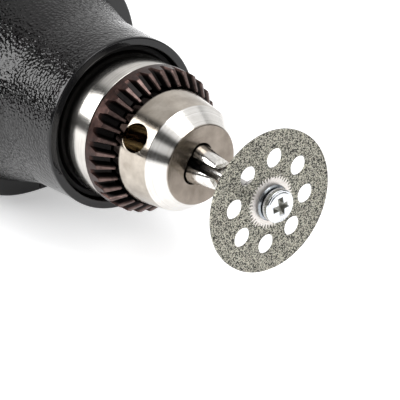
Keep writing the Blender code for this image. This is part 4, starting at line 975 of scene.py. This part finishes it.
# Chuck sleeve
# A plain sleeve of bright steel, turned all over and rounded at its rear edge. It is pressed
# over the split nut and runs back into the collar.
sleeve_back, sleeve_front = span("chuck_sleeve")
SLEEVE_R = 13.0 * MM
SLEEVE_BORE_R = 11.2 * MM
sleeve = turned("sleeve", filleted([
    (SLEEVE_BORE_R, sleeve_front, 0), (SLEEVE_R, sleeve_front, 0.15 * MM),
    (SLEEVE_R, sleeve_back, 0.5 * MM), (SLEEVE_BORE_R, sleeve_back, 0),
]), FINE_STEPS)
# Turned steel, a shade greyer: it mirrors the light as white bands between dark ones.
sleeve_steel = turned_steel("bright_sleeve_steel", "#b4b0aa", "#d6d3ce",
                            roughness=(0.12, 0.22), line_depth=0.004 * MM)
dress(sleeve, sleeve_steel, "chuck_ring", "chuck_steel", "chuck_sleeve", level_faces=False)

# Gear ring
# Brown oxidised steel ring on the sleeve: a plain band behind, and bevel teeth milled down
# its conical front for the chuck key. The oxide is rubbed lighter on the teeth.
GEAR_R = 13.15 * MM
GEAR_BORE_R = 10.8 * MM
BAND_S = 9.5 * MM
GEAR_TIP_R = 11.1 * MM
TEETH = 32
GAP_TOP = 1.9 * MM
GAP_FLOOR = 0.8 * MM
GAP_DEPTH = 1.15 * MM
GAP_OVER = 0.6 * MM
GAP_BACK = 1.4 * MM
GAP_FRONT = 6.0 * MM
OXIDE_CLOUD = 0.9 * MM
OXIDE_SCALE = 0.18 * MM
OXIDE_DEPTH = 0.02 * MM
gear_back, gear_front = span("chuck_gear_ring")
slope = Vector((gear_front - BAND_S, 0, GEAR_TIP_R - GEAR_R)).normalized()
lift = Vector((-slope.z, 0, slope.x))
# Browned steel: dark, cloudy brown with a metal's glint, paler on the lands, painted shade in the gaps.
oxide_steel, tree, shader, centred = new_finish("brown_oxide_steel", Metallic=0.8)
radius, along = off_axis(tree, centred)
ahead = add_node(tree, "ShaderNodeMath", {0: along, 1: BAND_S}, operation="SUBTRACT")
fall = slope.z / slope.x
cone = add_node(tree, "ShaderNodeMath", {0: ahead, 1: fall, 2: GEAR_R}, operation="MULTIPLY_ADD")
skin = add_node(tree, "ShaderNodeMath", {0: cone, 1: GEAR_R}, operation="MINIMUM")
depth = add_node(tree, "ShaderNodeMath", {0: skin, 1: radius}, operation="SUBTRACT")
land = add_node(tree, "ShaderNodeMapRange", {
    "Value": along, "From Min": BAND_S - 0.1 * MM, "From Max": BAND_S + 0.2 * MM, "To Max": 0.8,
})
cloud, scale = [
    add_node(tree, "ShaderNodeTexNoise", {"Vector": centred, "Scale": 1 / size, "Detail": detail})
    for size, detail in ((OXIDE_CLOUD, 5.0), (OXIDE_SCALE, 2.0))
]
rubbed = add_node(tree, "ShaderNodeMath", {0: land, 1: cloud}, operation="MULTIPLY")
oxide = tone(tree, cloud, "#251714", "#47322d")
colour = tone(tree, rubbed, oxide, "#85716c", 0.0, 1.0)
# Painted shade: the deeper into a tooth gap, the nearer to black it is painted.
colour = tone(tree, depth, colour, "#0a0605", start=0.1 * MM, end=0.55 * MM)
finish_with(tree, shader, colour, scale, roughness=(0.22, 0.42), height=scale, depth=OXIDE_DEPTH)
gear = turned("gear_ring", filleted([
    (GEAR_BORE_R, gear_front, 0.08 * MM), (GEAR_TIP_R, gear_front, 0.1 * MM), (GEAR_R, BAND_S, 0.15 * MM),
    (GEAR_R, gear_back, 0.2 * MM), (GEAR_BORE_R, gear_back, 0),
]), FINE_STEPS)
crest = Vector((BAND_S, 0, GEAR_R))
half_rise = (GAP_TOP - GAP_FLOOR) / GAP_DEPTH / 2
wide = GAP_TOP / 2 + half_rise * GAP_OVER
section = [(-wide, GAP_OVER), (wide, GAP_OVER), (GAP_FLOOR / 2, -GAP_DEPTH), (-GAP_FLOOR / 2, -GAP_DEPTH)]
tooth_gap = prism("tooth_gap", section, crest - slope * GAP_BACK, crest + slope * GAP_FRONT, LEFT, lift)
cut_away(gear, round_an_axis("tooth_gaps", tooth_gap, TEETH, on_tool(0), FORWARD, oxide_steel))
ease_edges(gear, 0.1 * MM)
dress(gear, oxide_steel, "chuck_ring", "gear_oxide", "chuck_gear_ring")

# Mandrel
# A steel shank of 2.35 mm, turned in one with its head and the flange behind the disc, and
# ground to size. The three jaws grip the shank.
shank_back, flange_front = span("mandrel")
SHANK_R = 1.175 * MM
HEAD_R = 2.2 * MM
HEAD_S = 35.0 * MM
MANDREL_FLANGE_R = 3.4 * MM
MANDREL_FLANGE_S = 38.2 * MM
mandrel = turned("mandrel_turned", filleted([
    (0, flange_front, 0), (MANDREL_FLANGE_R, flange_front, 0.15 * MM),
    (MANDREL_FLANGE_R, MANDREL_FLANGE_S, 0.15 * MM), (HEAD_R, MANDREL_FLANGE_S, 0.1 * MM),
    (HEAD_R, HEAD_S, 0.4 * MM), (SHANK_R, HEAD_S, 0.2 * MM), (SHANK_R, shank_back, 0.2 * MM),
    (0, shank_back, 0),
]), steps=64)
# Ground steel: mid grey with a clean highlight along the shank.
shank_steel = turned_steel("ground_shank_steel", "#a8a5a2", "#c9c7c4",
                           roughness=(0.15, 0.28), line_depth=0.003 * MM)
dress(mandrel, shank_steel, "rotor", "shaft_steel", "mandrel")

# Cutting disc
# Thin steel sheet with eight punched holes, nickel plated with diamond grit on both faces;
# the middle was masked by a toothed washer and stays bare.
disc_back, disc_front = span("cutting_disc")
DISC_R = 12.5 * MM
EYE_R = 1.1 * MM
DISC_HOLE_R = 1.75 * MM
DISC_PITCH_R = 7.6 * MM
DISC_HOLES = 8
HOLE_PHASE = math.radians(39)
BARE_R = 4.0 * MM
BARE_TEETH = 45
TOOTH_REACH = 0.6 * MM
TOOTH_PATCH = 1.2 * MM
GRIT = 0.15 * MM            # drawn coarser than the real grit so that the specks show
GRIT_DEPTH = 0.07 * MM
GRIT_CONTRAST = 1.3
FINE_GRIT = 0.22 * MM
RAGGED = 0.6 * MM
disc = turned("grit_disc", filleted([
    (EYE_R, disc_front, 0), (DISC_R, disc_front, 0.12 * MM), (DISC_R, disc_back, 0.12 * MM),
    (EYE_R, disc_back, 0),
]), steps=192)
# Grit under nickel: dark and light specks side by side, the palest partly painted glints, that
# never show one clean highlight, round a pale, ragged ring of bare plate.
grit_finish, tree, shader, centred = new_finish("nickel_bonded_diamond_grit", Metallic=0.5)
cells = add_node(tree, "ShaderNodeTexVoronoi", {"Vector": centred, "Scale": 1 / GRIT})
red = add_node(tree, "ShaderNodeSeparateColor", {"Color": cells.outputs["Color"]})
speck = add_node(tree, "ShaderNodeMath", {0: red, 1: GRIT_CONTRAST}, operation="POWER")
fine, patches = [
    add_node(tree, "ShaderNodeTexNoise", {"Vector": centred, "Scale": 1 / size, "Detail": GRAIN_DETAIL})
    for size in (FINE_GRIT, TOOTH_PATCH)
]
reach = add_node(tree, "ShaderNodeMapRange", {
    "Value": patches, "From Min": 0.3, "From Max": 0.7, "To Max": TOOTH_REACH,
})
parts = add_node(tree, "ShaderNodeSeparateXYZ", {"Vector": centred})
turn = add_node(tree, "ShaderNodeMath", {0: parts.outputs["Z"], 1: parts.outputs["Y"]}, operation="ARCTAN2")
round_turn = add_node(tree, "ShaderNodeMath", {0: turn, 1: BARE_TEETH}, operation="MULTIPLY")
wave = add_node(tree, "ShaderNodeMath", {0: round_turn}, operation="SINE")
toothed = add_node(tree, "ShaderNodeMath", {0: wave, 1: reach, 2: BARE_R}, operation="MULTIPLY_ADD")
ragged = add_node(tree, "ShaderNodeMath", {0: fine, 1: RAGGED, 2: toothed}, operation="MULTIPLY_ADD")
radius = off_axis(tree, centred)[0]
bare = add_node(tree, "ShaderNodeMath", {0: radius, 1: ragged}, operation="LESS_THAN")
coated = add_node(tree, "ShaderNodeMath", {0: 1.0, 1: bare}, operation="SUBTRACT")
relief = add_node(tree, "ShaderNodeMath", {0: cells.outputs["Distance"], 1: coated}, operation="MULTIPLY")
# Painted highlight: the specks' tones are the grit's own mottling, and the palest stand partly for glints.
grit = tone(tree, speck, "#23221b", "#c9c6b6")
plate = tone(tree, fine, "#dfd5cd", "#fdfaf6")
colour = tone(tree, bare, grit, plate, 0.0, 1.0)
finish_with(tree, shader, colour, fine, roughness=(0.25, 0.50), height=relief, depth=GRIT_DEPTH)
middle = on_tool(0, DISC_PITCH_R, HOLE_PHASE) - on_tool(0)
hole = rod("hole", middle + FORWARD * (disc_back - MM), middle + FORWARD * (disc_front + MM), DISC_HOLE_R)
cut_away(disc, round_an_axis("disc_holes", hole, DISC_HOLES, on_tool(0), FORWARD, grit_finish))
dress(disc, grit_finish, "rotor", "diamond_grit", "cutting_disc")

# Washer and screw
# A pressed washer and a cold-headed pan screw with a cross recess, both of zinc plated steel.
# The screw goes into the mandrel's head and clamps the disc between washer and flange.
washer_back, washer_front = span("mandrel_washer")
screw_back, screw_front = span("mandrel_screw")
WASHER_R = 3.15 * MM
WASHER_CHAMFER = 0.25 * MM
PAN_R = 2.9 * MM
PAN_UNDERCUT = 0.15 * MM
STEM_R = 0.8 * MM
PAN_RISE = 0.22 * MM
CROWN_R = PAN_R * 0.82
RIM_FALL = 0.12 * MM
RECESS_R = 2.2 * MM
PAN_RECESS = (4.2 * MM, 1.1 * MM, 1.0 * MM)
PAN_RECESS_TURN = math.radians(8)
ZINC_GRAIN = 0.4 * MM
ZINC_DEPTH = 0.01 * MM
head_back = washer_front + CLEARANCE
rim_top = screw_front - PAN_RISE
washer = turned("zinc_washer", filleted([
    (EYE_R, washer_front, 0.05 * MM), (WASHER_R - WASHER_CHAMFER, washer_front, 0.08 * MM),
    (WASHER_R, washer_front - WASHER_CHAMFER, 0.08 * MM), (WASHER_R, washer_back, 0.05 * MM),
    (EYE_R, washer_back, 0),
]), steps=96)
crown = [(CROWN_R * share, screw_front - PAN_RISE * share ** 2, 0) for share in (0, 0.2, 0.4, 0.6, 0.8)]
screw = turned("pan_screw", filleted([
    *crown, (CROWN_R, rim_top, 0.3 * MM), (PAN_R * 0.87, rim_top - RIM_FALL, 0.1 * MM),
    (PAN_R * 0.93, rim_top - RIM_FALL / 2, 0.08 * MM), (PAN_R, rim_top - 2 * RIM_FALL, 0.1 * MM),
    (PAN_R, head_back + 0.25 * MM, 0.05 * MM), (PAN_R - PAN_UNDERCUT, head_back + PAN_UNDERCUT, 0.03 * MM),
    (PAN_R - PAN_UNDERCUT, head_back, 0), (STEM_R, head_back, 0),
    (STEM_R, screw_back, 0.1 * MM), (0, screw_back, 0),
]), steps=96)
cut_away(screw, *cross_recess(on_tool(screw_front), FORWARD, PAN_RECESS, PAN_RECESS_TURN))
ease_edges(screw, 0.08 * MM)
# Dull zinc plate: a bluish grey with a soft highlight.
zinc = grained("dull_zinc_plate", "#82878c", "#a9aeb2",
               rough=0.24, size=0.5 * MM, depth=0.01 * MM, Metallic=1.0)
dress(washer, zinc, "rotor", "zinc", "mandrel_washer")
# Bright zinc plate: almost white on the head; in the cross recess rougher, and grey by painted shade.
bright_zinc, tree, shader, centred = new_finish("bright_zinc_plate", Metallic=1.0)
radius, along = off_axis(tree, centred)
fine = add_node(tree, "ShaderNodeTexNoise", {
    "Vector": centred, "Scale": 1 / ZINC_GRAIN, "Detail": GRAIN_DETAIL,
})
below, inner = [
    add_node(tree, "ShaderNodeMapRange", {
        "Value": place, "From Min": limit - fade, "From Max": limit, "To Min": 1.0, "To Max": 0.0,
    })
    for place, limit, fade in ((along, rim_top, 0.15 * MM), (radius, RECESS_R, 0.1 * MM))
]
# Painted shade: inside the cross recess the plate is painted grey, and it is rougher there too.
recess_shade_and_roughness = add_node(tree, "ShaderNodeMath", {0: below, 1: inner}, operation="MULTIPLY")
bright = tone(tree, fine, "#ccd0d4", "#eceef0")
shaded_recess_grey = tone(tree, fine, "#85857f", "#aaa9a2")
colour = tone(tree, recess_shade_and_roughness, bright, shaded_recess_grey, 0.0, 1.0)
finish_with(tree, shader, colour, recess_shade_and_roughness, roughness=(0.14, 0.42), height=fine, depth=ZINC_DEPTH)
dress(screw, bright_zinc, "rotor", "zinc", "mandrel_screw")

# Floor
# A plain white sweep of matt card just below the tool. It keeps the soft shadow, and what the
# camera and the bright metal see of it is lifted to white.
FLOOR_HALF = 3.0
FLOOR_DROP = 0.2 * MM
FLOOR_LIFT = 0.45
bm = bmesh.new()
below_tool = Matrix.Translation((0, 0, -FLOOR_DROP))
bmesh.ops.create_grid(bm, x_segments=2, y_segments=2, size=FLOOR_HALF, matrix=below_tool)
floor = from_bmesh("floor", bm)
# Matt white card: an even tone without a highlight.
white_card, tree, shader = new_finish("white_sweep", Roughness=0.9)[:3]
shader.inputs["Base Color"].default_value = hex_colour("#f6f6f7")
shader.inputs["Emission Color"].default_value = hex_colour("#ffffff")
rays = add_node(tree, "ShaderNodeLightPath")
seen = rays.outputs["Is Camera Ray"]
for mirrored in ("Is Glossy Ray", "Is Transmission Ray"):
    seen = add_node(tree, "ShaderNodeMath", {0: seen, 1: rays.outputs[mirrored]}, operation="MAXIMUM")
lifted = add_node(tree, "ShaderNodeMath", {0: seen, 1: FLOOR_LIFT}, operation="MULTIPLY")
tree.links.new(lifted.outputs["Value"], shader.inputs["Emission Strength"])
floor.data.materials.append(white_card)

# Light
# Four white panels in a dark room, two wide and two small, so that bright steel mirrors white
# between dark strips. One soft box hangs above the tool and one stands at its right. The camera
# alone sees the room as plain white.
SIDE_BOX = Vector((-0.46, -0.73, 0.51)).normalized()
TOP_BOX = Vector((0.39, 0.02, 0.92)).normalized()
BOX_DISTANCE = 0.60
ROOM_LEVEL = 0.05
# Direction, brightness, and the cosines off that direction at which a panel starts and is full.
PANELS = [
    (Vector((0.35, 0.22, 0.91)), 1.0, 0.72, 0.80),
    (Vector((-0.70, 0.70, 0.15)), 1.0, 0.45, 0.75),
    (Vector((-0.45, 0.05, 0.89)), 0.8, 0.90, 0.95),
    (Vector((0.48, -0.765, 0.427)), 0.8, 0.980, 0.990),
]
world = bpy.data.worlds.new("studio")
bpy.context.scene.world = world
world.use_nodes = True
tree = world.node_tree
background = tree.nodes["Background"]
background.inputs["Color"].default_value = hex_colour("#ffffff")
direction = add_node(tree, "ShaderNodeTexCoord").outputs["Generated"]
level = add_node(tree, "ShaderNodeLightPath").outputs["Is Camera Ray"]
for towards, brightness, edge, full in PANELS:
    facing = add_node(tree, "ShaderNodeVectorMath", {0: direction, 1: towards.normalized()},
                      operation="DOT_PRODUCT")
    panel = add_node(tree, "ShaderNodeMapRange", {
        "Value": facing.outputs["Value"], "From Min": edge, "From Max": full,
        "To Min": ROOM_LEVEL, "To Max": brightness,
    })
    level = add_node(tree, "ShaderNodeMath", {0: level, 1: panel}, operation="MAXIMUM")
tree.links.new(level.outputs["Value"], background.inputs["Strength"])


def soft_box(name, away, width, height, power):
    """Rectangular lamp aimed at the chuck."""
    lamp = bpy.data.lights.new(name, "AREA")
    lamp.shape = "RECTANGLE"
    lamp.size = width
    lamp.size_y = height
    lamp.energy = power
    obj = bpy.data.objects.new(name, lamp)
    bpy.context.scene.collection.objects.link(obj)
    obj.location = on_tool(10 * MM) + away * BOX_DISTANCE
    obj.rotation_mode = "QUATERNION"
    obj.rotation_quaternion = away.to_track_quat("Z", "Y")


soft_box("top_box", TOP_BOX, width=0.30, height=0.30, power=1.4)
soft_box("side_box", SIDE_BOX, width=0.42, height=0.30, power=2.7)

# Camera
# A long lens at the photograph's angle. It looks past the disc, a little to its rear, so that
# the nose fills the upper left of the frame.
AZIMUTH = math.radians(51.48)
ELEVATION = math.radians(25.75)
DISTANCE = 349.8 * MM
MOVE_RIGHT = -11.43 * MM
MOVE_UP = 0.17 * MM
FOCAL_LENGTH = 192.2
SENSOR_WIDTH = 36.0
back = Vector((math.sin(AZIMUTH) * math.cos(ELEVATION), -math.cos(AZIMUTH) * math.cos(ELEVATION),
               math.sin(ELEVATION)))
right = Vector((math.cos(AZIMUTH), math.sin(AZIMUTH), 0))
lens = bpy.data.cameras.new("camera")
lens.lens = FOCAL_LENGTH
lens.sensor_width = SENSOR_WIDTH
lens.clip_start = 10 * MM
camera = bpy.data.objects.new("camera", lens)
bpy.context.scene.collection.objects.link(camera)
middle = on_tool((disc_back + disc_front) / 2)
camera.location = middle + back * DISTANCE + right * MOVE_RIGHT + back.cross(right) * MOVE_UP
camera.rotation_mode = "QUATERNION"
camera.rotation_quaternion = back.to_track_quat("Z", "Y")
bpy.context.scene.camera = camera
bpy.context.scene.view_settings.view_transform = "Standard"
